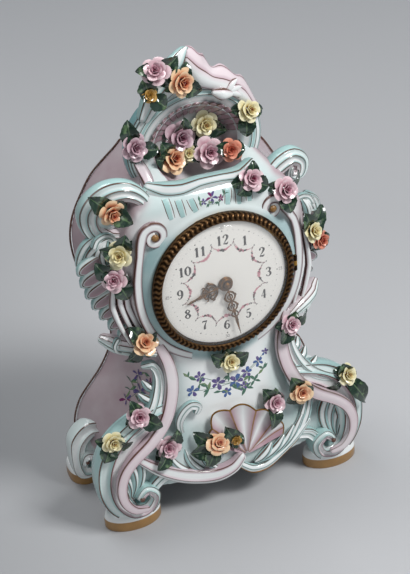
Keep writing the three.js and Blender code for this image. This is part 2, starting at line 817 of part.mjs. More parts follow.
const bezelHinge = [bezelRadius + 2.2, seatFront - 0.7];
const halfKnuckle = knuckleLength / 2;

function bezelRing() {
  const at = (height) => seatFace - height;
  const inner = bezelSight + 2;
  const base = at(seatThickness + 2 * clearance);
  const lip = at(bezelHeight - 2.4);
  const profile = [
    [bezelRadius, base],
    [bezelRadius, at(bezelHeight - 4)],
    [bezelRadius - 2, at(bezelHeight - 0.4)],
    [inner, at(bezelHeight)],
    [bezelSight, at(bezelHeight - 1.6)],
    [bezelSight, lip],
    [inner, lip],
    [inner, base],
    [bezelRadius, base],
  ];
  const ring = turned(profile, round, 0, dialHeight);
  const ears = [-1, 1].map((side) => {
    const ends = [side * (halfKnuckle + clearance), side * (halfKnuckle * 3 + clearance)].map((v) => dialHeight + v);
    return knuckle(...bezelHinge, Math.min(...ends), Math.max(...ends), bezelRadius - 1.5, base - 2.4, base);
  });
  const [x, y] = bezelHinge;
  const room = upright(knuckleRadius + clearance * 1.5, dialHeight - halfKnuckle - clearance,
    dialHeight + halfKnuckle + clearance, x, y, 8);
  return joined([ring, ...ears]).subtract(room);
}
addPart('bezel_ring', bezelRing(), 'gilt');

function bezelGlass() {
  const at = (height) => seatFace - bezelHeight - height;
  const rim = bezelSight + 2 - clearance;
  const rimFront = -2.4 - clearance;
  const profile = [
    [0, at(glassRise + 2.7)],
    [bezelSight * 0.57, at(glassRise + 1.4)],
    [bezelSight - 3.1, at(glassRise - 2)],
    [bezelSight - 0.8, at(rimFront)],
    [rim, at(rimFront)],
    [rim, at(rimFront - glassThickness)],
    [bezelSight - 1.9, at(rimFront - glassThickness)],
    [bezelSight - 4, at(glassRise - 2 - glassThickness * 0.8)],
    [bezelSight * 0.57, at(glassRise + 1.4 - glassThickness)],
    [0, at(glassRise + 2.7 - glassThickness)],
  ];
  return turned(profile, round, 0, dialHeight);
}
addPart('bezel_glass', bezelGlass(), 'glass');

const hingePin = ([x, y], length) => upright(pinRadius, dialHeight - length, dialHeight + length, x, y, 6);
addPart('bezel_hinge_pin', hingePin(bezelHinge, knuckleLength * 1.7), 'brass');

function dialSeatRing() {
  const outer = bezelRadius - 0.6;
  const inner = collarRadius - 4.2;
  const step = dialBack + clearance;
  const profile = [
    [inner, movementFront - clearance],
    [collarRadius, movementFront - clearance],
    [collarRadius, seatBack],
    [outer, seatBack],
    [outer, seatFront],
    [dialRadius, seatFront],
    [dialRadius, step],
    [inner, step],
    [inner, movementFront - clearance],
  ];
  const ring = turned(profile, round, 0, dialHeight);
  const [x, y] = bezelHinge;
  const ear = knuckle(x, y, dialHeight - halfKnuckle, dialHeight + halfKnuckle, outer - 2, seatFront, seatBack);
  return joined([ring, ear]);
}
addPart('dial_seat_ring', dialSeatRing(), 'brass');

const enamelProfile = [
  [dialBore, dialBack],
  [dialRadius, dialBack],
  [dialRadius, dialFront + 0.3],
  [dialRadius * 0.6, dialFront - dialDome * 0.6],
  [dialBore, dialFront - dialDome],
  [dialBore, dialBack],
];
addPart('enamel_dial', turned(enamelProfile, round, 0, dialHeight), 'enamel');

// Hands

const threadRadius = 0.9;
const minuteDegrees = minuteShown * 6;
const hourDegrees = (hourShown + minuteShown / 60) * 30;

// A pierced hand, drawn upright as half its outline, then turned to its time
function hand(halfOutline, windows, boss, bore, yBack, degrees) {
  const right = halfOutline.map(([x, z]) => new THREE.Vector2(x, z));
  const left = halfOutline.filter(([x]) => x > 0).map(([x, z]) => new THREE.Vector2(-x, z)).reverse();
  const shape = new THREE.Shape([...right, ...left]);
  windows.forEach(([x, z, rx, rz]) => {
    shape.holes.push(new THREE.Path().absellipse(x, z, rx, rz, 0, 2 * Math.PI, false, 0));
  });
  const geometry = new THREE.ExtrudeGeometry(shape, { depth: handThickness, bevelEnabled: false, curveSegments: 3 });
  geometry.rotateX(Math.PI / 2);
  geometry.translate(0, yBack, 0);
  geometry.rotateY(radians(degrees));
  geometry.translate(0, 0, dialHeight);
  const hub = rod(boss, yBack - handThickness, yBack, ...middle, 10);
  return joined([solid(geometry), hub]).subtract(hole(bore, yBack - 5, yBack + 5, ...middle));
}

const hourTube = { inner: 2.3, outer: 3.4, tip: 3 };
const hourOutline = [
  [1.2, 3],
  [1.6, 8],
  [7.5, 9.5],
  [8.5, 13.5],
  [5, 18],
  [1.8, 20.5],
  [1.1, 24],
  [0, hourHandLength],
];
const hourWindows = [[-3.8, 13, 2, 2.2], [3.8, 13, 2, 2.2]];
const minuteOutline = [
  [1.2, 3],
  [2, 8],
  [4, 13],
  [2.4, 18.5],
  [4, 24],
  [2.2, 29],
  [0.9, 33],
  [0, minuteHandLength],
];
const minuteWindows = [[0, 13, 2, 3], [0, 24, 2, 3]];
addPart('minute_hand', hand(minuteOutline, minuteWindows, 4.4, threadRadius, minuteBack, minuteDegrees), 'bronze');
addPart('hour_hand', hand(hourOutline, hourWindows, 6, hourTube.tip, hourBack, hourDegrees), 'bronze');

const threadEnd = nutBack - 1.6;
const nutProfile = [
  [0, threadEnd - 0.9],
  [1.6, threadEnd - 0.7],
  [2.8, nutBack - 0.9],
  [2.8, nutBack],
  [threadRadius + clearance, nutBack],
  [threadRadius + clearance, threadEnd - clearance],
  [0, threadEnd - clearance],
];
addPart('hand_nut', turned(nutProfile, 8, ...middle), 'bronze');

// Toothed wheels

// An outline of teeth: the tooth is as wide at its root and tip as these shares of the pitch
function toothed(teeth, rootRadius, tipRadius, { rootWidth = 1, tipWidth = 0, phase = 0, bore = 0 } = {}) {
  const pitch = 360 / teeth;
  const points = [];
  for (let i = 0; i < teeth; i += 1) {
    const corners = [[rootRadius, -rootWidth / 2], [tipRadius, -tipWidth / 2]];
    if (tipWidth > 0) corners.push([tipRadius, tipWidth / 2]);
    if (rootWidth < 1) corners.push([rootRadius, rootWidth / 2]);
    corners.forEach(([radius, share]) => {
      points.push(new THREE.Vector2(...polar([0, 0], radius, phase + (i + share) * pitch)));
    });
  }
  const shape = new THREE.Shape(points);
  if (bore > 0) shape.holes.push(new THREE.Path().absarc(0, 0, bore, 0, 2 * Math.PI));
  return shape;
}

const addendum = 0.8;
const dedendum = 1.3;

function wheel({ teeth, module }, yMiddle, at, phase, thickness = wheelThickness, bore = 0) {
  const pitchRadius = (teeth * module) / 2;
  const shape = toothed(teeth, pitchRadius - dedendum * module, pitchRadius + addendum * module, { phase, bore });
  return plate(shape, yMiddle - thickness / 2, yMiddle + thickness / 2, ...at, 4);
}

// A pinion has a gap, not a leaf, at the phase
function pinion(leaves, module, yMiddle, at, phase, length = pinionLength) {
  const pitchRadius = (leaves * module) / 2;
  const shape = toothed(leaves, pitchRadius - dedendum * module, pitchRadius + 0.75 * module, {
    rootWidth: 0.5,
    phase: phase + 180 / leaves,
  });
  return plate(shape, yMiddle - length / 2, yMiddle + length / 2, ...at);
}

const layer = (depth) => backInside - depth;

// An arbor with a pivot at each end, seated between the plates
function arbor([x, z], yBackEnd = movementBack - 0.5) {
  const profile = [
    [0, movementFront + 0.5],
    [pivotRadius, movementFront + 0.5],
    [pivotRadius, frontInside + clearance],
    [arborRadius, frontInside + clearance],
    [arborRadius, backInside - clearance],
    [pivotRadius, backInside - clearance],
    [pivotRadius, yBackEnd],
    [0, yBackEnd],
  ];
  return turned(profile, 6, x, z);
}

// Mainspring barrel

const greatY = layer(layers.great);
const greatThickness = 2;
const drumBack = greatY - greatThickness / 2;
const drumFront = drumBack - barrelDepth;

function mainspringBarrel() {
  const bore = boreRadius(windingRadius);
  const gear = wheel(greatWheel, greatY, barrelAt, barrelAngle - 180, greatThickness, bore);
  const drum = tubeRing(barrelRadius, barrelRadius - barrelWall, drumFront, drumBack + 0.5, ...barrelAt, 16);
  return joined([gear, drum]);
}
addPart('mainspring_barrel', mainspringBarrel(), 'brass');

// A flat spiral ribbon, wound out from its inner end
function spiral(at, inner, outer, turns, steps, yFront, yBack, thickness, startDegrees) {
  const rings = [];
  for (let i = 0; i <= turns * steps; i += 1) {
    const share = i / (turns * steps);
    const degrees = startDegrees + share * turns * 360;
    const radius = THREE.MathUtils.lerp(inner, outer, share);
    const [x0, z0] = polar(at, radius - thickness / 2, degrees);
    const [x1, z1] = polar(at, radius + thickness / 2, degrees);
    rings.push([[x0, yFront, z0], [x1, yFront, z1], [x1, yBack, z1], [x0, yBack, z0]]
      .map((corner) => new THREE.Vector3(...corner)));
  }
  return loft(rings);
}

const springFront = drumFront + 1.5;
const springBack = drumBack - 1;
const springInner = barrelHub + clearance + springThickness;
const springOuter = barrelRadius - barrelWall - clearance - springThickness;
addPart('mainspring', spiral(barrelAt, springInner, springOuter, 4, 9, springFront, springBack,
  springThickness, 0), 'steel');

const coverBack = drumFront - clearance;
addPart('barrel_cover', tubeRing(barrelRadius, boreRadius(windingRadius), coverBack - wheelThickness, coverBack,
  ...barrelAt, 16), 'brass');

// Winding work on the back plate

const ratchetY = movementBack + 1;
const keySocketFront = movementBack + 12;
const windingEnd = keySocketFront + 7;
const windingProfile = [
  [0, movementFront + 0.5],
  [pivotRadius * 2, movementFront + 0.5],
  [pivotRadius * 2, frontInside + clearance],
  [windingRadius, frontInside + clearance],
  [windingRadius, springFront - 0.5],
  [barrelHub, springFront - 0.5],
  [barrelHub, springBack],
  [windingRadius, springBack],
  [windingRadius, windingEnd],
  [0, windingEnd],
];
addPart('winding_arbor', turned(windingProfile, 8, ...barrelAt), 'steel');

const ratchetShape = toothed(ratchetTeeth, ratchetRadius - 1.8, ratchetRadius, {
  phase: 90,
  bore: boreRadius(windingRadius),
});
addPart('ratchet_wheel', plate(ratchetShape, ratchetY - wheelThickness / 2, ratchetY + wheelThickness / 2,
  ...barrelAt, 4), 'steel');

// The click lies along the ratchet with its beak between two teeth
const clickAt = polar(barrelAt, ratchetRadius + 7, 118);
const beakAt = polar(barrelAt, ratchetRadius - 0.9, 90 + (1.5 * 360) / ratchetTeeth);
const clickHub = 1.9;

function click() {
  const arm = tapered(clickAt, clickHub * 0.8, beakAt, 0.2);
  const yFront = ratchetY - wheelThickness / 2;
  const yBack = ratchetY + wheelThickness / 2;
  const body = joined([plate(arm, yFront, yBack), rod(clickHub, yFront, yBack, ...clickAt, 8)]);
  return body.subtract(hole(pinRadius, yFront - 1, yBack + 1, ...clickAt, 6));
}
addPart('click', click(), 'steel');

function windingKey() {
  const [x, z] = barrelAt;
  const end = movementBack + keyReach + 4;
  const socket = tubeRing(windingRadius + 1.6, boreRadius(windingRadius), keySocketFront, windingEnd + 1, x, z, 8);
  const stem = rod(windingRadius + 1.6, windingEnd + 0.8, windingEnd + 4, x, z, 8);
  const outline = new THREE.Shape();
  outline.absellipse(keyWing * 0.55, 0, keyWing * 0.45, (end - windingEnd - 3) / 2, 0, 2 * Math.PI, false, 0);
  const wings = [1, -1].map((side) => {
    const geometry = new THREE.ExtrudeGeometry(outline, { depth: 1.6, bevelEnabled: false, curveSegments: 5 });
    geometry.translate(0, 0, -0.8);
    geometry.scale(side, 1, 1);
    geometry.translate(x, (end + windingEnd + 3) / 2, z);
    return solid(geometry);
  });
  return joined([socket, stem, block(x - 2, x + 2, windingEnd + 2, end - 2, z - 0.8, z + 0.8), ...wings]);
}
addPart('winding_key', windingKey(), 'brass');

// Going train

const centerY = layer(layers.center);
const thirdY = layer(layers.third);
const fourthY = layer(layers.fourth);
const escapeY = layer(layers.escape);

function centerWheel() {
  const leaves = pinion(pinionLeaves, greatWheel.module, greatY, middle, barrelAngle);
  const gear = wheel(centerGear, centerY, middle, thirdAngle);
  const sleeve = rod(1.5, greatY + pinionLength / 2 - 0.5, backInside - clearance, ...middle, 8);
  const bore = rod(boreRadius(centerArborRadius), greatY - 5, backInside, ...middle, boreSegments);
  return joined([leaves, gear, sleeve]).subtract(bore);
}
addPart('center_wheel', centerWheel(), 'brass');

function thirdWheel() {
  const leaves = pinion(pinionLeaves, centerGear.module, centerY, thirdAt, thirdAngle + 180, 2.4);
  return joined([arbor(thirdAt), leaves, wheel(thirdGear, thirdY, thirdAt, fourthAngle)]);
}
addPart('third_wheel', thirdWheel(), 'brass');

function fourthWheel() {
  const leaves = pinion(pinionLeaves, thirdGear.module, thirdY, fourthAt, fourthAngle + 180);
  return joined([arbor(fourthAt), leaves, wheel(fourthGear, fourthY, fourthAt, escapeAngle)]);
}
addPart('fourth_wheel', fourthWheel(), 'brass');

function escapeWheel() {
  const leaves = pinion(pinionLeaves, fourthGear.module, fourthY, escapeAt, escapeAngle + 180);
  const teeth = toothed(escapeTeeth, escapeRadius - 1.8, escapeRadius, { phase: palletAngle });
  const crown = plate(teeth, escapeY - wheelThickness / 2, escapeY + wheelThickness / 2, ...escapeAt);
  return joined([arbor(escapeAt), leaves, crown]);
}
addPart('escape_wheel', escapeWheel(), 'brass');

// Centre arbor and motion work

const minuteY = movementFront - motionLayers.minute;
const hourY = movementFront - motionLayers.hour;
const cannonRadius = 2;
const shoulder = minuteBack + clearance;

function centerArbor() {
  const cannonPinion = pinion(pinionLeaves, minuteGear.module, minuteY, middle, minuteAngle);
  const pinionFront = minuteY - pinionLength / 2;
  const profile = [
    [0, threadEnd],
    [threadRadius, threadEnd],
    [threadRadius, shoulder],
    [cannonRadius, shoulder],
    [cannonRadius, pinionFront + 0.2],
    [arborRadius * 2, pinionFront + 0.2],
    [arborRadius * 2, pinionFront + 0.4],
    [1.3, pinionFront + 0.4],
    [1.3, frontInside + clearance],
    [centerArborRadius, frontInside + clearance],
    [centerArborRadius, movementBack + 0.5],
    [1.3, movementBack + 0.5],
    [1.3, movementBack + knobReach],
    [0, movementBack + knobReach],
  ];
  return joined([turned(profile, 6, ...middle), cannonPinion]);
}
addPart('center_arbor', centerArbor(), 'steel');

function minuteWheel() {
  const gear = wheel(minuteGear, minuteY, minuteAt, minuteAngle + 180);
  const leaves = pinion(pinionLeaves, hourGear.module, hourY, minuteAt, minuteAngle + 180, 2);
  const sleeve = rod(1.25, hourY - 1, minuteY + wheelThickness / 2, ...minuteAt, 8);
  return joined([gear, leaves, sleeve]).subtract(rod(boreRadius(pivotRadius), hourY - 3, movementFront, ...minuteAt, 8));
}
addPart('minute_wheel', minuteWheel(), 'brass');

function hourWheel() {
  const gear = wheel(hourGear, hourY, middle, minuteAngle, wheelThickness, hourTube.inner);
  const profile = [
    [hourTube.inner, hourY],
    [hourTube.outer, hourY],
    [hourTube.outer, hourBack + clearance],
    [hourTube.tip, hourBack + clearance],
    [hourTube.tip, hourBack - handThickness - 0.3],
    [hourTube.inner, hourBack - handThickness - 0.3],
    [hourTube.inner, hourY],
  ];
  return joined([gear, turned(profile, 10, ...middle)]);
}
addPart('hour_wheel', hourWheel(), 'brass');

const knobProfile = [
  [boreRadius(1.3), movementBack + knobReach - 6],
  [knobRadius - 1, movementBack + knobReach - 6],
  [knobRadius, movementBack + knobReach - 5],
  [knobRadius, movementBack + knobReach - 1],
  [knobRadius - 1, movementBack + knobReach],
  [boreRadius(1.3), movementBack + knobReach],
  [boreRadius(1.3), movementBack + knobReach - 6],
];
addPart('set_knob', turned(knobProfile, 10, ...middle), 'brass');

// Escapement

const forkY = movementBack + 1.3;
const stoneGap = 0.6;

function palletLever() {
  const stones = [-34, 34].map((lean) => polar(escapeAt, escapeRadius + stoneGap + 0.5, palletAngle + lean));
  const yFront = escapeY - 0.9;
  const yBack = escapeY + 0.9;
  const arms = stones.map((stone) => plate(tapered(palletAt, 1.2, stone, 0.5), yFront, yBack));
  const reach = polar(palletAt, 6.4, balanceAngle);
  const lever = new THREE.Shape([
    new THREE.Vector2(...polar(palletAt, 0.9, balanceAngle - 90)),
    new THREE.Vector2(...polar(reach, 1.5, balanceAngle - 90)),
    new THREE.Vector2(...polar(polar(reach, 1.6, balanceAngle), 1.3, balanceAngle - 90)),
    new THREE.Vector2(...polar(reach, 0.5, balanceAngle)),
    new THREE.Vector2(...polar(polar(reach, 1.6, balanceAngle), 1.3, balanceAngle + 90)),
    new THREE.Vector2(...polar(reach, 1.5, balanceAngle + 90)),
    new THREE.Vector2(...polar(palletAt, 0.9, balanceAngle + 90)),
  ]);
  const fork = plate(lever, forkY - 0.5, forkY + 0.5);
  const hub = rod(1.3, yFront, yBack, ...palletAt, 8);
  return joined([arbor(palletAt, forkY + 0.5), ...arms, hub, fork]);
}
addPart('pallet_lever', palletLever(), 'steel');

const balanceY = movementBack + balanceRise;
const cockY = movementBack + cockRise;
const hairspringY = balanceY + 3.6;
const staffRadius = 0.9;

function balanceWheel() {
  const rim = tubeRing(balanceRadius, balanceRadius - 1.4, balanceY, balanceY + 1.6, ...balanceAt, 16);
  const [x, z] = balanceAt;
  const bar = block(x - balanceRadius + 0.7, x + balanceRadius - 0.7, balanceY + 0.2, balanceY + 1.2, z - 0.8, z + 0.8);
  const profile = [
    [0, backInside + 0.5],
    [0.4, backInside + 0.5],
    [0.4, movementBack + clearance],
    [staffRadius, movementBack + clearance],
    [staffRadius, cockY - clearance],
    [0.4, cockY - clearance],
    [0.4, cockY + cockThickness],
    [0, cockY + cockThickness],
  ];
  return joined([rim, bar, turned(profile, 6, x, z)]);
}
addPart('balance_wheel', balanceWheel(), 'brass');

const springStud = 0.6;
const studDegrees = 60;
const hairOuter = balanceRadius - 2.6;
addPart('hairspring', spiral(balanceAt, staffRadius + clearance + 0.2, hairOuter, 3, 9, hairspringY, hairspringY + 0.9,
  0.3, studDegrees), 'steel');

// The cock stands on the back plate beside the balance and holds its upper pivot
const cockAngle = -40;
const cockFoot = polar(balanceAt, balanceRadius + 3, cockAngle);
const regulatorBore = 1.5;

function balanceCock() {
  const foot = rod(2.4, movementBack + clearance, cockY + 0.5, ...cockFoot, 8);
  const half = 2.4;
  const bridge = plate(tapered(cockFoot, half, balanceAt, half), cockY, cockY + cockThickness);
  const tip = rod(half + 0.6, cockY, cockY + cockThickness, ...balanceAt, 8);
  const boss = rod(regulatorBore, cockY, cockY + cockThickness + 2, ...balanceAt, 8);
  const studAt = polar(balanceAt, hairOuter + 0.15 + clearance + springStud, studDegrees);
  const stud = rod(springStud, hairspringY - 0.3, cockY + 0.5, ...studAt, 6);
  const [x, z] = balanceAt;
  const holder = plate(tapered(balanceAt, 1.2, studAt, 1.2), cockY, cockY + cockThickness);
  const pivotHole = rod(boreRadius(0.4), cockY - 1, cockY + cockThickness + 0.5, x, z, boreSegments);
  return joined([foot, bridge, tip, boss, stud, holder]).subtract(pivotHole);
}
addPart('balance_cock', balanceCock(), 'brass');

function regulatorLever() {
  const yFront = cockY + cockThickness + clearance;
  const yBack = yFront + 0.9;
  const ring = rod(3, yFront, yBack, ...balanceAt, 12);
  const tail = tapered(balanceAt, 1.4, polar(balanceAt, 11, 140), 0.4);
  return joined([ring, plate(tail, yFront, yBack)]).subtract(hole(regulatorBore, yFront - 1, yBack + 1, ...balanceAt, 8));
}
addPart('regulator_lever', regulatorLever(), 'steel');

// Plates and pillars

const pillarAngles = { pillar_top: 120, pillar_right: 0, pillar_bottom: -90 };
Object.entries(pillarAngles).forEach(([name, degrees]) => {
  const at = polar(middle, pillarCircle, degrees);
  addPart(name, rod(pillarRadius, frontInside + clearance, backInside - clearance, ...at, 8), 'brass');
});

function drilled(body, yFront, yBack, holes) {
  return body.subtract(joined(holes.map(([at, radius]) => {
    return rod(boreRadius(radius), yFront - 1, yBack + 1, ...at, boreSegments);
  })));
}

function frontPlate() {
  const disc = rod(frontPlateRadius, movementFront, frontInside, ...middle, 20);
  const stud = rod(pivotRadius, hourY - 1.3, movementFront + 0.5, ...minuteAt, 6);
  const holes = [
    [middle, 1.3],
    [barrelAt, pivotRadius * 2],
    ...[thirdAt, fourthAt, escapeAt, palletAt].map((at) => [at, pivotRadius]),
    ...screwsAt.map((at) => [at, screwRadius + runningGap]),
  ];
  return joined([drilled(disc, movementFront, frontInside, holes), stud]);
}
addPart('front_plate', frontPlate(), 'brass');

function backPlate() {
  const disc = rod(backPlateRadius, backInside, movementBack, ...middle, 20);
  const post = rod(pinRadius, movementBack - 0.5, ratchetY + 1.2, ...clickAt, 6);
  const holes = [
    [middle, centerArborRadius],
    [barrelAt, windingRadius],
    ...[thirdAt, fourthAt, escapeAt].map((at) => [at, pivotRadius]),
    [palletAt, pivotRadius],
    [balanceAt, 0.4],
  ];
  return joined([drilled(disc, backInside, movementBack, holes), post]);
}
addPart('back_plate', backPlate(), 'brass');

// Rear ring, door and clamp screws

const ringFront = backFace + clearance;
const ringBack = ringFront + ringThickness;
const doorFront = ringBack + clearance;
const doorBack = doorFront + doorThickness;
const doorHinge = [doorRadius + 2.7, doorBack + 0.5];

function rearRing() {
  const collar = rearOpening - 0.6;
  const profile = [
    [ringBore, ringFront],
    [collar - bezelWall, ringFront],
    [collar - bezelWall, ringFront - ringCollar],
    [collar, ringFront - ringCollar],
    [collar, ringFront],
    [ringFlange, ringFront],
    [ringFlange, ringBack],
    [ringBore, ringBack],
    [ringBore, ringFront],
  ];
  const [x, y] = doorHinge;
  const ear = knuckle(x, y, dialHeight - halfKnuckle, dialHeight + halfKnuckle, x + 3, ringBack - 0.5, y);
  const ring = turned(profile, round, 0, dialHeight);
  return drilled(joined([ring, ear]), ringFront, ringBack, screwsAt.map((at) => [at, screwRadius + runningGap]));
}
addPart('rear_ring', rearRing(), 'brass');

function rearDoor() {
  const disc = rod(doorRadius, doorFront, doorBack, ...middle, round);
  const ears = [-1, 1].map((side) => {
    const ends = [side * (halfKnuckle + clearance), side * (halfKnuckle * 3 + clearance)].map((v) => dialHeight + v);
    return knuckle(...doorHinge, Math.min(...ends), Math.max(...ends), doorRadius - 2, doorFront, doorBack);
  });
  return joined([disc, ...ears]);
}
addPart('rear_door', rearDoor(), 'brass');
addPart('door_hinge_pin', hingePin(doorHinge, knuckleLength * 1.7), 'brass');

const pullAt = [-doorRadius + 6, dialHeight];
const pullProfile = [
  [0, doorBack + clearance],
  [1.8, doorBack + clearance],
  [1.8, doorBack + 1.8],
  [3, doorBack + 2.6],
  [3, doorBack + 4],
  [2, doorBack + 4.8],
  [0, doorBack + 4.8],
];
addPart('door_knob', turned(pullProfile, 8, ...pullAt), 'brass');

function clampScrew([x, z]) {
  const end = movementFront + 0.5;
  const profile = [
    [0, end],
    [screwRadius, end],
    [screwRadius, ringBack + clearance],
    [screwHead, ringBack + clearance],
    [screwHead, ringBack + 1.8],
    [0, ringBack + 1.8],
  ];
  return turned(profile, 8, x, z);
}
addPart('clamp_screw_top', clampScrew(screwsAt[0]), 'steel');
addPart('clamp_screw_bottom', clampScrew(screwsAt[1]), 'steel');

// The origin is under the middle of the clock, on the surface that it stands on
const bounds = new THREE.Box3().setFromObject(model, true);
model.position.set(-(bounds.min.x + bounds.max.x) / 2, -(bounds.min.y + bounds.max.y) / 2, -bounds.min.z);

export default model;
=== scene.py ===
"""A rococo porcelain mantel clock: glazed case, modelled flowers, gilt bezel and painted dial."""

import json
import logging
import math
import random
from dataclasses import dataclass, field
from enum import Enum
from typing import Callable, Sequence

import bmesh
import bpy
from mathutils import Matrix, Vector
from mathutils.bvhtree import BVHTree


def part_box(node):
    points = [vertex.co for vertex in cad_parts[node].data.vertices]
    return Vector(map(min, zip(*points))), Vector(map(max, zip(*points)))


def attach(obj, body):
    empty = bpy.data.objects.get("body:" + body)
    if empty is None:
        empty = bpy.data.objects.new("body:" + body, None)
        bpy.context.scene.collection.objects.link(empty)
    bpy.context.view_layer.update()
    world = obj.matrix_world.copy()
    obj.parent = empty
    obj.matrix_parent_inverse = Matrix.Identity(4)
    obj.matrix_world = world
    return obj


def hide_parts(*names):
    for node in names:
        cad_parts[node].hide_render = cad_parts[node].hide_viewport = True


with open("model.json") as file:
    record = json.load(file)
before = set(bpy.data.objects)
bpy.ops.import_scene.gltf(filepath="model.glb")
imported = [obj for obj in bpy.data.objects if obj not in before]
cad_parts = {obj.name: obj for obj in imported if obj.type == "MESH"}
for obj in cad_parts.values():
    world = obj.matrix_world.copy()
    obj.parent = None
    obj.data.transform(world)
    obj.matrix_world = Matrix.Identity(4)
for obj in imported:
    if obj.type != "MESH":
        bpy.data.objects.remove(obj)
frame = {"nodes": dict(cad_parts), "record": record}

logging.basicConfig(level=logging.INFO, format="%(name)s: %(message)s")
logger = logging.getLogger("porcelain_clock")

Mesh = bmesh.types.BMesh
Material = bpy.types.Material
Socket = bpy.types.NodeSocket
Station = Sequence[float]
Point = tuple[float, float]
Stroke = Sequence[tuple[float, float, float]]
Ring = list[Vector]
Colour = tuple[float, float, float, float]

# Lengths are in millimetres from the ground and from the middle of the clock
MM = 0.001
DIAL_HEIGHT = 200.0
DIAL_BACK = -45.5
SEAT_FACE = -42.0
BACK_FACE = 37.0
FRONT = Vector((0.0, -1.0, 0.0))
RIGHT = Vector((1.0, 0.0, 0.0))
UPWARD = Vector((0.0, 0.0, 1.0))
ROOT = "case"

# The axis, the place and the side of each limit of the clock's outline
OUTLINE = ((0, -120.9, -1), (0, 119.9, 1), (1, -64.2, -1), (2, 377.5, 1))


class Paint(Enum):
    """The decorator's colours, as they look on screen."""

    WHITE = "EDF0EF"
    PALE = "DCE9E7"
    TURQUOISE = "A8CAC8"
    DEEP_TURQUOISE = "82ADB0"
    PINK = "DED0D4"
    ROSE_PINK = "C7B0B8"
    MAUVE = "AE9099"
    MAUVE_GREY = "9A848A"
    LINE = "5E3E32"
    GOLD_LINE = "8C6636"
    GOLD_BAND = "A98048"
    CREAM = "EFE3C8"
    LEAF = "20362A"
    LEAF_LIGHT = "6F8A62"
    BLUE = "46629A"
    VIOLET = "5E5088"
    PURPLE = "7A2E66"
    PAINTED_GREEN = "48705E"
    INK = "1E1C1E"
    GREY_INK = "7F7C7C"
    GARLAND_PINK = "C98A94"
    GARLAND_DARK = "6A4048"

    @property
    def tone(self) -> Colour:
        """Returns the linear colour."""
        return linear(self.value)


class Bloom(Enum):
    """The kinds of flower: the colour of the rim, the body and the heart of each petal."""

    PINK = ("E4CACF", "C893A3", "7A1238")
    MAUVE = ("D3B8C0", "AC8090", "641434")
    ORANGE = ("F2D2AA", "DC8A64", "8E1F16")
    YELLOW = ("EFE9C4", "DFD094", "A0601C")
    RED = ("E49A80", "C25A44", "6E1815")
    GOLD = ("C49A52", "9A6F2C", "5F3E16")


def linear(code: str) -> Colour:
    """Turns a six-figure screen colour into the linear colour that a shader socket takes.

    Args:
        code: red, green and blue in hexadecimal.

    Returns:
        The linear colour with an alpha of one.
    """
    parts = [int(code[k:k + 2], 16) / 255 for k in (0, 2, 4)]
    red, green, blue = (c / 12.92 if c <= 0.04045 else ((c + 0.055) / 1.055) ** 2.4 for c in parts)
    return (red, green, blue, 1.0)


def up(rise: float) -> float:
    """Returns a height over the ground for one given from the dial's centre."""
    return DIAL_HEIGHT + rise


def lerp(start: float, end: float, share: float) -> float:
    """Returns the value at a share of the way from start to end."""
    return start + (end - start) * share


def unit(value: float) -> float:
    """Returns the value kept between 0 and 1."""
    return min(max(value, 0.0), 1.0)


def smooth(low: float, high: float, value: float) -> float:
    """Returns 0 below low and 1 above high, with a soft change between them."""
    share = unit((value - low) / (high - low))
    return share * share * (3 - 2 * share)


def sided(stations: Sequence[Station], side: int) -> list[Station]:
    """Returns the stations on the right for a side of 1, or on the left for -1."""
    return [(side * station[0], *station[1:]) for station in stations]


def shown(name: str, data: bpy.types.ID) -> bpy.types.Object:
    """Puts an object in the scene.

    Args:
        name: the object's name.
        data: its mesh, camera or lamp.

    Returns:
        The new object.
    """
    made = bpy.data.objects.new(name, data)
    bpy.context.scene.collection.objects.link(made)
    return made


def settled(name: str, part: Mesh) -> bpy.types.Object:
    """Turns a mesh under work into an object of the scene.

    Args:
        name: the object's name.
        part: the mesh, which is used up.

    Returns:
        The new object.
    """
    data = bpy.data.meshes.new(name)
    part.to_mesh(data)
    part.free()
    return shown(name, data)


def frame_matrix() -> Matrix:
    """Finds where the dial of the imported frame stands.

    Returns:
        The matrix from millimetres about the clock's own axes to metres in the shared frame.
    """
    low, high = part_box("enamel_dial")
    origin = Vector((low.x + high.x, 2 * (high.y - DIAL_BACK * MM), low.z + high.z)) / 2
    origin.z -= DIAL_HEIGHT * MM
    return Matrix.Translation(origin) @ Matrix.Scale(MM, 4)


TO_FRAME = frame_matrix()


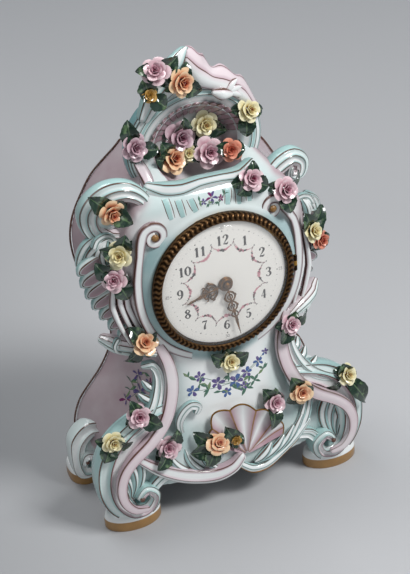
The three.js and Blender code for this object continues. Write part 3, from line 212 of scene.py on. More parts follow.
class Shader:
    """A material whose nodes are added one at a time around one glossy surface node."""

    def __init__(self, name: str, **sockets: float | Colour) -> None:
        """Starts a material.

        Args:
            name: the material's name.
            sockets: values of the surface node's own sockets, with _ for a space.
        """
        self.material = bpy.data.materials.new(name)
        self.material.use_nodes = True
        self.tree = self.material.node_tree
        self.surface = self.tree.nodes["Principled BSDF"]
        for socket, value in sockets.items():
            self.surface.inputs[socket.replace("_", " ")].default_value = value

    def node(self, kind: str, inputs: dict | None = None, **settings: object) -> bpy.types.Node:
        """Adds a node.

        Args:
            kind: the node's type without its ShaderNode prefix.
            inputs: a value or an output to link for each named or numbered input.
            settings: the node's own properties.

        Returns:
            The new node.
        """
        made = self.tree.nodes.new("ShaderNode" + kind)
        for key, value in settings.items():
            setattr(made, key, value)
        for key, value in (inputs or {}).items():
            self.feed(made.inputs[key], value)
        return made

    def feed(self, socket: Socket, value: object) -> None:
        """Links an output to a socket, or sets the socket's value.

        Args:
            socket: the input.
            value: an output, a number or a colour.
        """
        if isinstance(value, Socket):
            self.tree.links.new(value, socket)
        else:
            socket.default_value = value

    def place(self) -> Socket:
        """Returns the position on the object in metres."""
        return self.node("TexCoord").outputs["Object"]

    def attribute(self, name: str, output: str = "Fac") -> Socket:
        """Returns a value that the mesh carries under a name."""
        return self.node("Attribute", attribute_name=name).outputs[output]

    def noise(self, scale: float, detail: float = 3.0, rough: float = 0.5) -> Socket:
        """Returns a soft random value that is fixed to the object."""
        inputs = {"Vector": self.place(), "Scale": scale, "Detail": detail, "Roughness": rough}
        return self.node("TexNoise", inputs).outputs["Fac"]

    def ramp(self, factor: Socket, stops: Sequence[tuple[float, Colour]]) -> Socket:
        """Looks a colour up on a ramp.

        Args:
            factor: the value that is looked up.
            stops: places from 0 to 1, each with its colour.

        Returns:
            The colour.
        """
        made = self.node("ValToRGB", {"Fac": factor})
        elements = made.color_ramp.elements
        while len(elements) > 1:
            elements.remove(elements[-1])
        elements[0].position, elements[0].color = stops[0]
        for position, colour in stops[1:]:
            elements.new(min(position, 1.0)).color = colour
        return made.outputs["Color"]

    def mix(self, factor: object, first: object, second: object, blend: str = "MIX") -> Socket:
        """Returns a blend of two colours."""
        inputs = {0: factor, 6: first, 7: second}
        return self.node("Mix", inputs, data_type="RGBA", blend_type=blend).outputs[2]

    def level(self, factor: Socket, low: float, high: float, to_low: float = 0.0, to_high: float = 1.0) -> Socket:
        """Returns a factor stretched from one range to another and kept inside it."""
        keys = {"Value": factor, "From Min": low, "From Max": high, "To Min": to_low, "To Max": to_high}
        return self.node("MapRange", keys).outputs["Result"]

    def colour(self, value: Socket) -> None:
        """Links the surface's colour."""
        self.feed(self.surface.inputs["Base Color"], value)

    def rough(self, value: Socket) -> None:
        """Links the surface's roughness."""
        self.feed(self.surface.inputs["Roughness"], value)

    def bump(self, height: Socket, strength: float, distance_mm: float) -> None:
        """Adds a fine relief to the surface."""
        inputs = {"Height": height, "Strength": strength, "Distance": distance_mm * MM}
        self.feed(self.surface.inputs["Normal"], self.node("Bump", inputs).outputs["Normal"])


def glazed(name: str) -> Shader:
    """Starts a white glaze: glossy, slightly rippled and faintly mottled.

    Args:
        name: the material's name.

    Returns:
        The shader, whose colour is still to be laid.
    """
    made = Shader(name, Roughness=0.16, IOR=1.5, Coat_Weight=0.5, Coat_Roughness=0.04)
    made.bump(made.noise(55.0, 2.0), 0.25, 0.5)
    made.rough(made.level(made.noise(140.0), 0.3, 0.7, 0.12, 0.24))
    return made


@dataclass(frozen=True)
class PaintedBody:
    """White glaze with soft fields of colour that the mesh carries."""

    mottle: float = 0.3

    def build(self) -> Material:
        """Makes the material.

        Returns:
            The material.
        """
        made = glazed("painted_body_glaze")
        share = made.level(made.noise(38.0), 0.35, 0.75, 0.0, self.mottle)
        made.colour(made.mix(share, made.attribute("tint", "Color"), Paint.WHITE.tone))
        return made.material


@dataclass(frozen=True)
class BandedGlaze:
    """Glaze painted in bands across a roll, with a brown line along each band's edge.

    Each band is its share of the width, the colour at its sides and the colour along its middle.
    """

    name: str
    bands: tuple[tuple[float, Paint, Paint], ...]
    line_share: float = 0.034
    line: Paint = Paint.LINE
    wash: float = 0.35
    wash_from: float = 0.5
    margin: float = 0.06

    def drawn(self, at: float, before: Colour, after: Colour, ahead: float = 1.6, behind: float = 1.6) -> list:
        """Returns the stops of one line between two colours."""
        half, line = self.line_share / 2, self.line.tone
        return [(at - half * ahead, before), (at - half * 0.6, line), (at + half * 0.6, line),
                (at + half * behind, after)]

    def stops(self) -> list[tuple[float, Colour]]:
        """Lays the bands out across the roll.

        Returns:
            The places and the colours.
        """
        first, last = self.bands[0][1].tone, self.bands[-1][1].tone
        few = len(self.bands) < 5
        stops = [(0.0, first), *self.drawn(self.margin, first, first, ahead=1.0)]
        start = 0.0
        for number, (width, edge, middle) in enumerate(self.bands):
            end = start + width
            soft = width * (0.3 if few else 0.5)
            stops.append((start + soft, middle.tone))
            if few:
                stops.append((end - soft, middle.tone))
            if number < len(self.bands) - 1:
                stops += self.drawn(end, edge.tone, self.bands[number + 1][1].tone)
            start = end
        return [*stops, *self.drawn(1 - self.margin, last, last, behind=1.0), (1.0, last)]

    def build(self) -> Material:
        """Makes the material.

        Returns:
            The material.
        """
        made = glazed(self.name)
        bands = made.ramp(made.attribute("across"), self.stops())
        fade = made.level(made.noise(30.0), self.wash_from, 0.85, 0.0, self.wash)
        made.colour(made.mix(fade, bands, Paint.WHITE.tone))
        return made.material


@dataclass(frozen=True)
class HollowGlaze:
    """Glaze of a shell's lobe: a mauve oval hollow with painted shade towards its middle and root, and a brown outline
    inside a pale rim.
    """

    start: float = 0.42
    length: float = 0.5

    def build(self) -> Material:
        """Makes the material.

        Returns:
            The material.
        """
        made = glazed("shell_lobes")
        across = made.level(made.attribute("across"), 0.0, 1.0, -1.0, 1.0)
        along = made.level(made.attribute("along"), self.start, self.start + self.length)
        both = made.node("CombineXYZ", {"X": across, "Y": along}).outputs["Vector"]
        reach = made.node("VectorMath", {0: both}, operation="LENGTH").outputs["Value"]
        pale, line = Paint.PALE.tone, Paint.LINE.tone
        # Painted shade: the hollow's mauve darkens to mauve-grey along its middle towards the root
        made.colour(made.ramp(reach, [
            (0.1, Paint.MAUVE_GREY.tone), (0.5, Paint.MAUVE.tone), (0.64, pale), (0.67, line), (0.77, line),
            (0.81, pale), (0.92, pale), (1.0, Paint.TURQUOISE.tone)]))
        return made.material


@dataclass(frozen=True)
class CloudedGlaze:
    """A pale colour of glaze, clouded with a second one."""

    paint: Paint = Paint.PALE
    cloud: Paint = Paint.TURQUOISE
    share: float = 0.5

    def build(self) -> Material:
        """Makes the material.

        Returns:
            The material.
        """
        made = glazed("pale_glaze")
        clouds = made.level(made.noise(60.0), 0.4, 0.75, 0.0, self.share)
        made.colour(made.mix(clouds, self.paint.tone, self.cloud.tone))
        return made.material


@dataclass(frozen=True)
class FootGlaze:
    """White glaze over a matt gold band that runs round the foot at the ground."""

    band_height: float = 9.0
    blur: float = 0.2

    def build(self) -> Material:
        """Makes the material.

        Returns:
            The material.
        """
        made = glazed("foot_glaze")
        height = made.node("SeparateXYZ", {"Vector": made.place()}).outputs["Z"]
        over = made.level(height, (self.band_height - self.blur) * MM, (self.band_height + self.blur) * MM)
        wear_and_rib_shade = made.mix(made.level(made.noise(90.0), 0.3, 0.8), Paint.GOLD_BAND.tone, Paint.GOLD_LINE.tone)
        made.colour(made.mix(over, wear_and_rib_shade, Paint.WHITE.tone))
        made.rough(made.level(over, 0.0, 1.0, 0.5, 0.15))
        return made.material


@dataclass(frozen=True)
class PetalGlaze:
    """A petal that darkens from its rim to its heart."""

    bloom: Bloom

    def build(self) -> Material:
        """Makes the material.

        Returns:
            The material.
        """
        rim, body, heart = (linear(code) for code in self.bloom.value)
        made = Shader(f"petal_{self.bloom.name.lower()}", Roughness=0.28, Coat_Weight=0.5, Coat_Roughness=0.12)
        inputs = {0: made.attribute("along"), 1: made.level(made.noise(260.0), 0.3, 0.7, -0.1, 0.1)}
        streaks = made.node("Math", inputs, operation="ADD").outputs[0]
        made.colour(made.ramp(streaks, [(0.3, heart), (0.48, body), (0.8, rim)]))
        made.bump(made.noise(420.0), 0.3, 0.3)
        return made.material


@dataclass(frozen=True)
class LeafGlaze:
    """Bottle-green glaze with pale veins where it has run thin, and pale patches at random that are painted highlights.
    """

    vein: float = 0.6
    vein_width: float = 0.06

    def build(self) -> Material:
        """Makes the material.

        Returns:
            The material.
        """
        made = Shader("leaf_glaze", Roughness=0.2, Coat_Weight=0.8, Coat_Roughness=0.08)
        black, pale = (0, 0, 0, 1), (self.vein, self.vein, self.vein, 1)
        thin = made.ramp(made.attribute("across"), [
            (0.5 - self.vein_width, black), (0.5, pale), (0.5 + self.vein_width, black)])
        # Painted highlights: pale green patches scattered at random over the leaf
        patch = made.level(made.noise(210.0), 0.55, 0.72, 0.0, 0.75)
        made.colour(made.mix(made.mix(1.0, thin, patch, "ADD"), Paint.LEAF.tone, Paint.LEAF_LIGHT.tone))
        made.bump(made.noise(330.0), 0.4, 0.4)
        return made.material


@dataclass(frozen=True)
class Metal:
    """A metal with fine marks, whose chased work takes painted light and shade from the ridges that the mesh marks."""

    name: str
    light: str
    dark: str
    roughness: float = 0.35
    grain: float = 400.0
    relief: float = 0.15
    ridge: bool = False

    def build(self) -> Material:
        """Makes the material.

        Returns:
            The material.
        """
        made = Shader(self.name, Metallic=1.0, Roughness=self.roughness)
        patch = made.level(made.noise(self.grain * 0.4, 5.0, 0.6), 0.35, 0.65)
        # Painted light and shade: on chased work the tone follows each rib's relief
        if self.ridge:
            wear_and_rib_shade = made.level(made.attribute("across"), 0.35, 1.0)
            patch = made.mix(made.level(made.noise(60.0), 0.3, 0.7, 0.55, 1.0), (0, 0, 0, 1), wear_and_rib_shade)
        made.colour(made.mix(patch, linear(self.dark), linear(self.light)))
        made.rough(made.level(made.noise(self.grain), 0.3, 0.7, self.roughness * 0.7, self.roughness * 1.4))
        made.bump(made.noise(self.grain * 1.5), self.relief, 0.2)
        return made.material


@dataclass(frozen=True)
class Enamel:
    """White enamel with the finest speckle."""

    white: str = "F4F1EA"
    speckle: str = "C2BAB0"

    def build(self) -> Material:
        """Makes the material.

        Returns:
            The material.
        """
        made = Shader("dial_enamel", Roughness=0.18, Coat_Weight=0.4)
        speck = made.level(made.noise(900.0, 2.0), 0.6, 0.8, 0.0, 0.35)
        made.colour(made.mix(speck, linear(self.white), linear(self.speckle)))
        return made.material


@dataclass(frozen=True)
class Ink:
    """Fired paint of one tone, a little thin in places."""

    name: str
    paint: Paint

    def build(self) -> Material:
        """Makes the material.

        Returns:
            The material.
        """
        made = Shader(self.name, Roughness=0.3)
        thin = made.level(made.noise(700.0), 0.55, 0.85, 0.0, 0.3)
        made.colour(made.mix(thin, self.paint.tone, Paint.WHITE.tone))
        return made.material


@dataclass(frozen=True)
class ClearGlass:
    """Thin clear glass that shows by its reflections."""

    alpha: float = 0.07

    def build(self) -> Material:
        """Makes the material.

        Returns:
            The material.
        """
        made = Shader("bezel_clear_glass", Base_Color=(1, 1, 1, 1), Roughness=0.03, IOR=1.45, Alpha=self.alpha)
        made.rough(made.level(made.noise(45.0), 0.2, 0.8, 0.02, 0.05))
        made.material.surface_render_method = "BLENDED"
        return made.material


class Palette:
    """Every finish of the clock, built once."""

    def __init__(self) -> None:
        """Builds the materials."""
        white, pale, turquoise = Paint.WHITE, Paint.PALE, Paint.TURQUOISE
        deep, pink, rose = Paint.DEEP_TURQUOISE, Paint.PINK, Paint.ROSE_PINK
        self.body = PaintedBody().build()
        self.foot = FootGlaze().build()
        self.leg = BandedGlaze("leg_bands", (
            (0.36, turquoise, pale), (0.38, rose, white), (0.26, turquoise, white))).build()
        self.back_leg = BandedGlaze("back_leg_bands", ((0.5, pale, white), (0.5, turquoise, white)), 0.04).build()
        self.scroll = BandedGlaze("dial_scroll_bands", ((1.0, Paint.MAUVE_GREY, white),), 0.12, wash=0.1).build()
        self.roll = BandedGlaze("turquoise_roll", ((0.5, turquoise, white), (0.5, turquoise, white)), 0.05).build()
        self.shoulder = BandedGlaze("shoulder_bands", (
            (0.34, turquoise, pale), (0.36, turquoise, white), (0.3, pink, white)), 0.045).build()
        self.pilaster = BandedGlaze("pilaster_bands", ((1.0, rose, pink),), 0.09, wash=0.6, wash_from=0.42).build()
        self.apron = BandedGlaze("apron_bands", ((0.7, rose, white), (0.3, white, white)), 0.06).build()
        self.niche = BandedGlaze("niche_bands", (
            (0.42, turquoise, white), (0.2, pale, turquoise), (0.22, turquoise, white), (0.16, deep, pale)),
            0.028, wash=0.3).build()
        self.plume = BandedGlaze("plume_bands", ((0.55, pink, white), (0.45, rose, pink)), 0.03, wash=0.5).build()
        self.lobe = HollowGlaze().build()
        self.shell = BandedGlaze("apron_shell_lobes", ((0.2, Paint.MAUVE, white),) * 5, 0.012, Paint.GOLD_LINE,
                                 wash=0.2).build()
        self.gadroon = BandedGlaze("gadroon", ((1.0, Paint.MAUVE_GREY, Paint.MAUVE),), 0.1, wash=0.3).build()
        self.feather = BandedGlaze("feathers", ((0.5, turquoise, white), (0.5, deep, turquoise)), 0.09,
                                   wash=0.2).build()
        self.quill = BandedGlaze("white_feathers", ((1.0, pink, white),), 0.12, wash=0.2).build()
        self.clouded = CloudedGlaze().build()
        self.line = Ink("brown_line", Paint.LINE).build()
        self.gold = Metal("gilded_line", Paint.GOLD_BAND.value, Paint.GOLD_LINE.value, 0.45).build()
        self.petals = {bloom: PetalGlaze(bloom).build() for bloom in Bloom}
        self.leaf = LeafGlaze().build()
        self.ink = {paint: Ink(f"painted_{paint.name.lower()}", paint).build() for paint in Paint}
        self.enamel = Enamel().build()
        self.bezel = Metal("chased_gilt_brass", "806040", "2A1D12", 0.42, relief=0.1, ridge=True).build()
        self.hand = Metal("dark_gilt", "8A5E2C", "2C1A0A", 0.42, 700.0).build()
        self.brass = Metal("satin_brass", "C79A4B", "BA8D42", 0.3).build()
        self.steel = Metal("polished_steel", "A9ACB0", "7C8086", 0.25).build()
        self.spring = Metal("blued_steel", "3A4C7A", "202A4A", 0.25).build()
        self.glass = ClearGlass().build()


def loft(rings: Sequence[Ring], across: Sequence[float] | None = None, looped: bool = False,
         pinched: bool = False) -> Mesh:
    """Extrudes an edge loop from ring to ring and closes its ends.

    Args:
        rings: loops with the same number of points, in order.
        across: a value from 0 to 1 for each point of a ring, which a finish reads.
        looped: whether the last ring joins the first, or both are capped.
        pinched: whether the end rings are flat and close on themselves.

    Returns:
        A closed mesh that carries the values along and across.
    """
    part = bmesh.new()
    order = part.verts.layers.int.new("order")
    share = part.verts.layers.float.new("across")
    run = part.verts.layers.float.new("along")
    part.verts.layers.float_color.new("tint")
    count = len(rings[0])
    values = across or [k / count for k in range(count)]
    start = bmesh.ops.create_circle(part, segments=count, radius=1.0)["verts"]
    for k, vert in enumerate(start):
        vert.co, vert[order], vert[share] = rings[0][k], k, values[k]
    edges = list(part.edges)
    closing = [rings[0]] if looped else []
    for level, ring in enumerate([*rings[1:], *closing], 1):
        grown = bmesh.ops.extrude_edge_only(part, edges=edges)["geom"]
        edges = [item for item in grown if isinstance(item, bmesh.types.BMEdge) and item.is_boundary]
        for vert in (item for item in grown if isinstance(item, bmesh.types.BMVert)):
            vert.co = ring[vert[order]]
            vert[run] = level / (len(rings) - 1)
    if looped or pinched:
        bmesh.ops.remove_doubles(part, verts=part.verts[:], dist=1e-5)
        bmesh.ops.dissolve_degenerate(part, dist=1e-6, edges=part.edges[:])
    else:
        bmesh.ops.holes_fill(part, edges=[e for e in part.edges if e.is_boundary], sides=0)
    bmesh.ops.recalc_face_normals(part, faces=part.faces[:])
    return part


def spline(points: Sequence[Vector], steps: int, looped: bool = False) -> list[Vector]:
    """Draws a smooth curve through points of any dimension, paced by their distance in space.

    Args:
        points: the points, whose first three values are a place.
        steps: how many samples each span gets.
        looped: whether the curve returns to its first point.

    Returns:
        The samples along the curve.
    """
    if looped:
        row = [points[-1], *points, *points[:2]]
    else:
        row = [points[0] * 2 - points[1], *points, points[-1] * 2 - points[-2]]
    spans = len(row) - 3
    samples = []
    for span in range(spans):
        four = row[span:span + 4]
        knots = [0.0]
        for first, second in zip(four, four[1:]):
            gap = (Vector(second[:3]) - Vector(first[:3])).length
            knots.append(knots[-1] + max(gap, 1e-4) ** 0.5)
        for step in range(steps + (0 if looped or span < spans - 1 else 1)):
            t = lerp(knots[1], knots[2], step / steps)
            level = four
            for depth in (1, 2, 3):
                level = [
                    (level[k] * (knots[k + depth] - t) + level[k + 1] * (t - knots[k])) / (knots[k + depth] - knots[k])
                    for k in range(len(level) - 1)
                ]
            samples.append(level[0])
    return samples


@dataclass
class Roll:
    """A moulded roll that is drawn along a curve and faces one way.

    Each station is x, y, z, half width across and half depth outward, in millimetres.
    """

    stations: Sequence[Station]
    steps: int = 6
    sides: int = 18
    looped: bool = False
    facing: Vector = field(default_factory=lambda: FRONT.copy())
    flip: bool = False
    square: float = 1.0
    ridges: Sequence[float] = ()
    valley: float = 0.6
    ridge_width: float = 0.09
    veins: float = 0.0
    least: float = 0.15

    def section(self) -> tuple[list[Point], list[float]]:
        """Draws the outline across the roll.

        Returns:
            The outline, and each point's share of the width.
        """
        points, values = [], []
        for k in range(self.sides):
            angle = math.tau * k / self.sides
            across, out = math.cos(angle), math.sin(angle)
            value = (1 - across) / 2 if self.flip else (1 + across) / 2
            height = math.copysign(abs(out) ** self.square, out)
            if self.ridges and out > 0:
                near = max(math.exp(-(((value - ridge) / self.ridge_width) ** 2)) for ridge in self.ridges)
                height *= lerp(self.valley, 1.0, near)
            across *= 1 - self.veins * math.sin(7 * angle) ** 2 * (1 - abs(out) ** 3)
            points.append((across, height))
            values.append(value)
        return points, values

    def build(self) -> Mesh:
        """Draws the roll along its curve.

        Returns:
            The closed mesh.
        """
        path = spline([Vector(station) for station in self.stations], self.steps, self.looped)
        outline, values = self.section()
        last = len(path) - 1
        rings = []
        for k, sample in enumerate(path):
            before = path[(k - 1) % len(path) if self.looped else max(k - 1, 0)]
            after = path[(k + 1) % len(path) if self.looped else min(k + 1, last)]
            tangent = (Vector(after[:3]) - Vector(before[:3])).normalized()
            out = (self.facing - tangent * self.facing.dot(tangent)).normalized()
            side = tangent.cross(out)
            width, depth = max(sample[3], self.least), max(sample[4], self.least)
            centre = Vector(sample[:3])
            for reach, size in self.cap(k, last, min(width, depth)):
                middle = centre + tangent * reach
                rings.append([middle + side * (width * size * a) + out * (depth * size * b) for a, b in outline])
        return loft(rings, values, self.looped)

    def cap(self, index: int, last: int, size: float) -> list[Point]:
        """Rounds off an end of the roll.

        Args:
            index: the sample's number.
            last: the last sample's number.
            size: the roll's half thickness there.

        Returns:
            Offsets along the curve and sizes of the section, which is only one away from the ends.
        """
        if self.looped or 0 < index < last:
            return [(0.0, 1.0)]
        angles = (75, 50, 25, 0) if index == 0 else (0, 25, 50, 75)
        sign = -1 if index == 0 else 1
        turns = [math.radians(angle) for angle in angles]
        return [(sign * size * 0.7 * math.sin(turn), math.cos(turn)) for turn in turns]


def feather(root: Sequence[float], tip: Sequence[float], bow: float, width: float, depth: float) -> list[Station]:
    """Bends a tapering tongue of clay from its root to its tip.

    Args:
        root: where it starts.
        tip: where it ends.
        bow: how far it bends aside, as a share of its length.
        width: its greatest half width.
        depth: its greatest half depth.

    Returns:
        The stations of the tongue.
    """
    start, end = Vector(root), Vector(tip)
    run = end - start
    side = Vector((-run.z, 0, run.x)) * bow
    stations = []
    for share, size in ((0, 0.5), (0.22, 0.9), (0.5, 1.0), (0.76, 0.82), (1, 0.42)):
        middle = start.lerp(end, share) + side * (4 * share * (1 - share))
        stations.append((*middle, width * size, depth * size))
    return stations


def volute(eye: Sequence[float], radius: float, start: float, sweep: float, depth: float) -> list[Station]:
    """Winds a scroll's spiral end in from its outer turn to its eye.

    Args:
        eye: the place of the eye.
        radius: the reach of the outer turn.
        start: the angle of the first station in degrees.
        sweep: how far it winds in degrees.
        depth: the half depth of the roll.

    Returns:
        The stations of the spiral.
    """
    x, y, z = eye
    count = round(abs(sweep) / 40)
    stations = []
    for k in range(count + 1):
        share = k / count
        angle = math.radians(start + sweep * share)
        reach = radius * (1 - 0.68 * share)
        width = radius * (0.42 - 0.16 * share)
        stations.append((x + reach * math.cos(angle), y, z + reach * math.sin(angle), width, depth))
    return stations


def bead(centre: Sequence[float], radius: float, flatten: float = 1.0, fine: int = 2) -> Mesh:
    """Rolls a ball of clay.

    Args:
        centre: where it sits.
        radius: its radius.
        flatten: its depth as a share of its width.
        fine: how often its faces are divided.

    Returns:
        A closed mesh.
    """
    part = bmesh.new()
    shape = Matrix.Translation(centre) @ Matrix.Diagonal((1.0, flatten, 1.0, 1.0))
    bmesh.ops.create_icosphere(part, subdivisions=fine, radius=radius, matrix=shape)
    return part


def turned(profile: Sequence[Point], x: float = 0.0, z: float = DIAL_HEIGHT, segments: int = 96,
           stretch: float = 1.0) -> Mesh:
    """Spins a profile round an axis along Y.

    Args:
        profile: radius and y of each corner, closed on itself.
        x: the axis's place across.
        z: the axis's height.
        segments: how many steps the turn has.
        stretch: the height of the turned shape as a share of its width.

    Returns:
        A closed mesh.
    """
    part = bmesh.new()
    corners = [part.verts.new((radius, y, 0.0)) for radius, y in profile]
    edges = [part.edges.new(pair) for pair in zip(corners, corners[1:] + corners[:1])]
    bmesh.ops.spin(part, geom=corners + edges, cent=(0, 0, 0), axis=(0, 1, 0), dvec=(0, 0, 0),
                   angle=math.tau, steps=segments, use_merge=True)
    bmesh.ops.remove_doubles(part, verts=part.verts[:], dist=1e-4)
    flat = [face for face in part.faces if face.calc_area() < 1e-7]
    bmesh.ops.delete(part, geom=flat, context="FACES_ONLY")
    bmesh.ops.recalc_face_normals(part, faces=part.faces[:])
    bmesh.ops.transform(part, matrix=Matrix.Translation((x, 0, z)) @ Matrix.Diagonal((1, 1, stretch, 1)),
                        verts=part.verts[:])
    return part


def disc(radius: float, front: float, back: float, **shape: float) -> Mesh:
    """Returns a plain disc on an axis along Y."""
    return turned([(0, front), (radius, front), (radius, back), (0, back)], **shape)


def knuckle(pin: Point, radius: float, ends: Point, lug_x: Point, lug_y: Point) -> list[Mesh]:
    """Makes one hinge knuckle on its lug.

    Args:
        pin: the pin's place across and along Y.
        radius: the knuckle's radius.
        ends: its lower and upper end from the dial's centre.
        lug_x: the lug's two ends across.
        lug_y: the lug's front and back.

    Returns:
        The barrel and the lug.
    """
    low, high = ends
    middle = up((low + high) / 2)
    barrel, lug = bmesh.new(), bmesh.new()
    bmesh.ops.create_cone(barrel, cap_ends=True, segments=28, radius1=radius, radius2=radius, depth=high - low,
                          matrix=Matrix.Translation((*pin, middle)))
    shape = Matrix.Translation((sum(lug_x) / 2, sum(lug_y) / 2, middle)) @ Matrix.Diagonal(
        (lug_x[1] - lug_x[0], lug_y[1] - lug_y[0], high - low, 1))
    bmesh.ops.create_cube(lug, size=1.0, matrix=shape)
    return [barrel, lug]


@dataclass
class Piece:
    """One finished piece, gathered in millimetres and placed in the frame when it is done.

    It rides on its body and stands for the frame's nodes that it replaces.
    """

    name: str
    body: str = ROOT
    slot: str = "porcelain"
    replaces: Sequence[str] = ()
    mesh: Mesh = field(default_factory=bmesh.new)
    materials: list[Material] = field(default_factory=list)
    soft: float = 4.0

    def add(self, part: Mesh, material: Material) -> None:
        """Takes in a part with its material.

        Args:
            part: a closed mesh, which is used up.
            material: the finish of all its faces.
        """
        if material not in self.materials:
            self.materials.append(material)
        for face in part.faces:
            face.material_index = self.materials.index(material)
            face.smooth = True
        carrier = bpy.data.meshes.new("carrier")
        part.to_mesh(carrier)
        part.free()
        self.mesh.from_mesh(carrier)
        bpy.data.meshes.remove(carrier)

    def roll(self, material: Material, stations: Sequence[Station], steps: int, sides: int, side: int = 1,
             **shape: object) -> None:
        """Adds a roll that is given for the right, on one side of the clock."""
        shape.setdefault("flip", side < 0)
        self.add(Roll(sided(stations, side), steps, sides, **shape).build(), material)

    def press(self) -> None:
        """Presses clay that would stand outside the clock's outline softly back inside it."""
        for vert in self.mesh.verts:
            for axis, limit, sign in OUTLINE:
                deep = self.soft - (limit - vert.co[axis]) * sign
                if deep > 0:
                    vert.co[axis] = limit - sign * self.soft * math.exp(-deep / self.soft)

    def finish(self, crease: float = 42.0) -> None:
        """Places the piece, lets it ride on its body and reports it.

        Args:
            crease: edges sharper than this angle in degrees stay crisp.
        """
        if self.body == ROOT:
            self.press()
        self.mesh.transform(TO_FRAME)
        made = settled(self.name, self.mesh)
        for material in self.materials:
            made.data.materials.append(material)
        made.data.set_sharp_from_angle(angle=math.radians(crease))
        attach(made, self.body)
        if self.replaces:
            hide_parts(*self.replaces)
        logger.info("%s: %d faces on %s", self.name, len(made.data.polygons), self.body)


class Clay:
    """The porcelain so far, on which flowers are set and lines are painted."""

    def __init__(self) -> None:
        """Starts with no surface."""
        self.surfaces: list[BVHTree] = []

    def take(self, piece: Piece) -> None:
        """Adds the surface of a piece that isn't placed yet."""
        self.surfaces.append(BVHTree.FromBMesh(piece.mesh))

    def cast(self, start: Vector, direction: Vector) -> tuple[Vector, Vector] | None:
        """Finds the first clay along a ray.

        Args:
            start: where the ray starts.
            direction: where it goes.

        Returns:
            The place and the outward normal, or None.
        """
        best = None
        for surface in self.surfaces:
            place, normal, _, distance = surface.ray_cast(start, direction)
            if place is not None and (best is None or distance < best[0]):
                best = (distance, place, normal if normal.dot(direction) < 0 else -normal)
        return best[1:] if best else None

    def front(self, x: float, z: float) -> tuple[Vector, Vector] | None:
        """Finds the clay that a ray from the front meets at a place."""
        return self.cast(Vector((x, -200, z)), -FRONT)

    def seat(self, x: float, z: float, reach: float = 4.0) -> tuple[Vector, Vector]:
        """Finds the foremost clay around a place on the front.

        Args:
            x: the place across.
            z: its height.
            reach: how far round it the clay is felt for.

        Returns:
            The place, moved to that depth, and the clay's normal.
        """
        hits = [self.front(x + dx * reach, z + dz * reach) for dx, dz in ((0, 0), (1, 0), (-1, 0), (0, 1), (0, -1))]
        found = [hit for hit in hits if hit]
        if not found:
            return self.seat(x * 0.96, z, reach + 1)
        place, normal = min(found, key=lambda hit: hit[0].y)
        return Vector((x, place.y, z)), normal


@dataclass
class Workshop:
    """What each sub-assembly is made with: the finishes, and the clay that later pieces are set on."""

    palette: Palette
    clay: Clay

    def fire(self, piece: Piece) -> None:
        """Adds a modelled piece to the clay and places it."""
        self.clay.take(piece)
        piece.finish()


# Each station is height, half width at the back edge, half width at the front corner and the front face
LOWER_STATIONS = (
    (30, 108, 76, -54), (44, 109, 75, -54), (60, 108, 69, -52), (78, 101, 60, -49),
    (98, 84, 54, -46), (114, 74, 51, -44), (131, 69, 51, -42),
)
UPPER_STATIONS = (
    (-50, 72, 57, -41), (-25, 84, 68, -40), (0, 91, 75, -40), (24, 94, 78, -40), (44, 90, 76, -40),
    (63, 80, 67, -40), (76, 71, 57, -35), (85, 61, 50, -20), (94, 50, 43, -2), (105, 39, 36, 7),
    (116, 26, 25, 8), (124, 13, 12, 9),
)


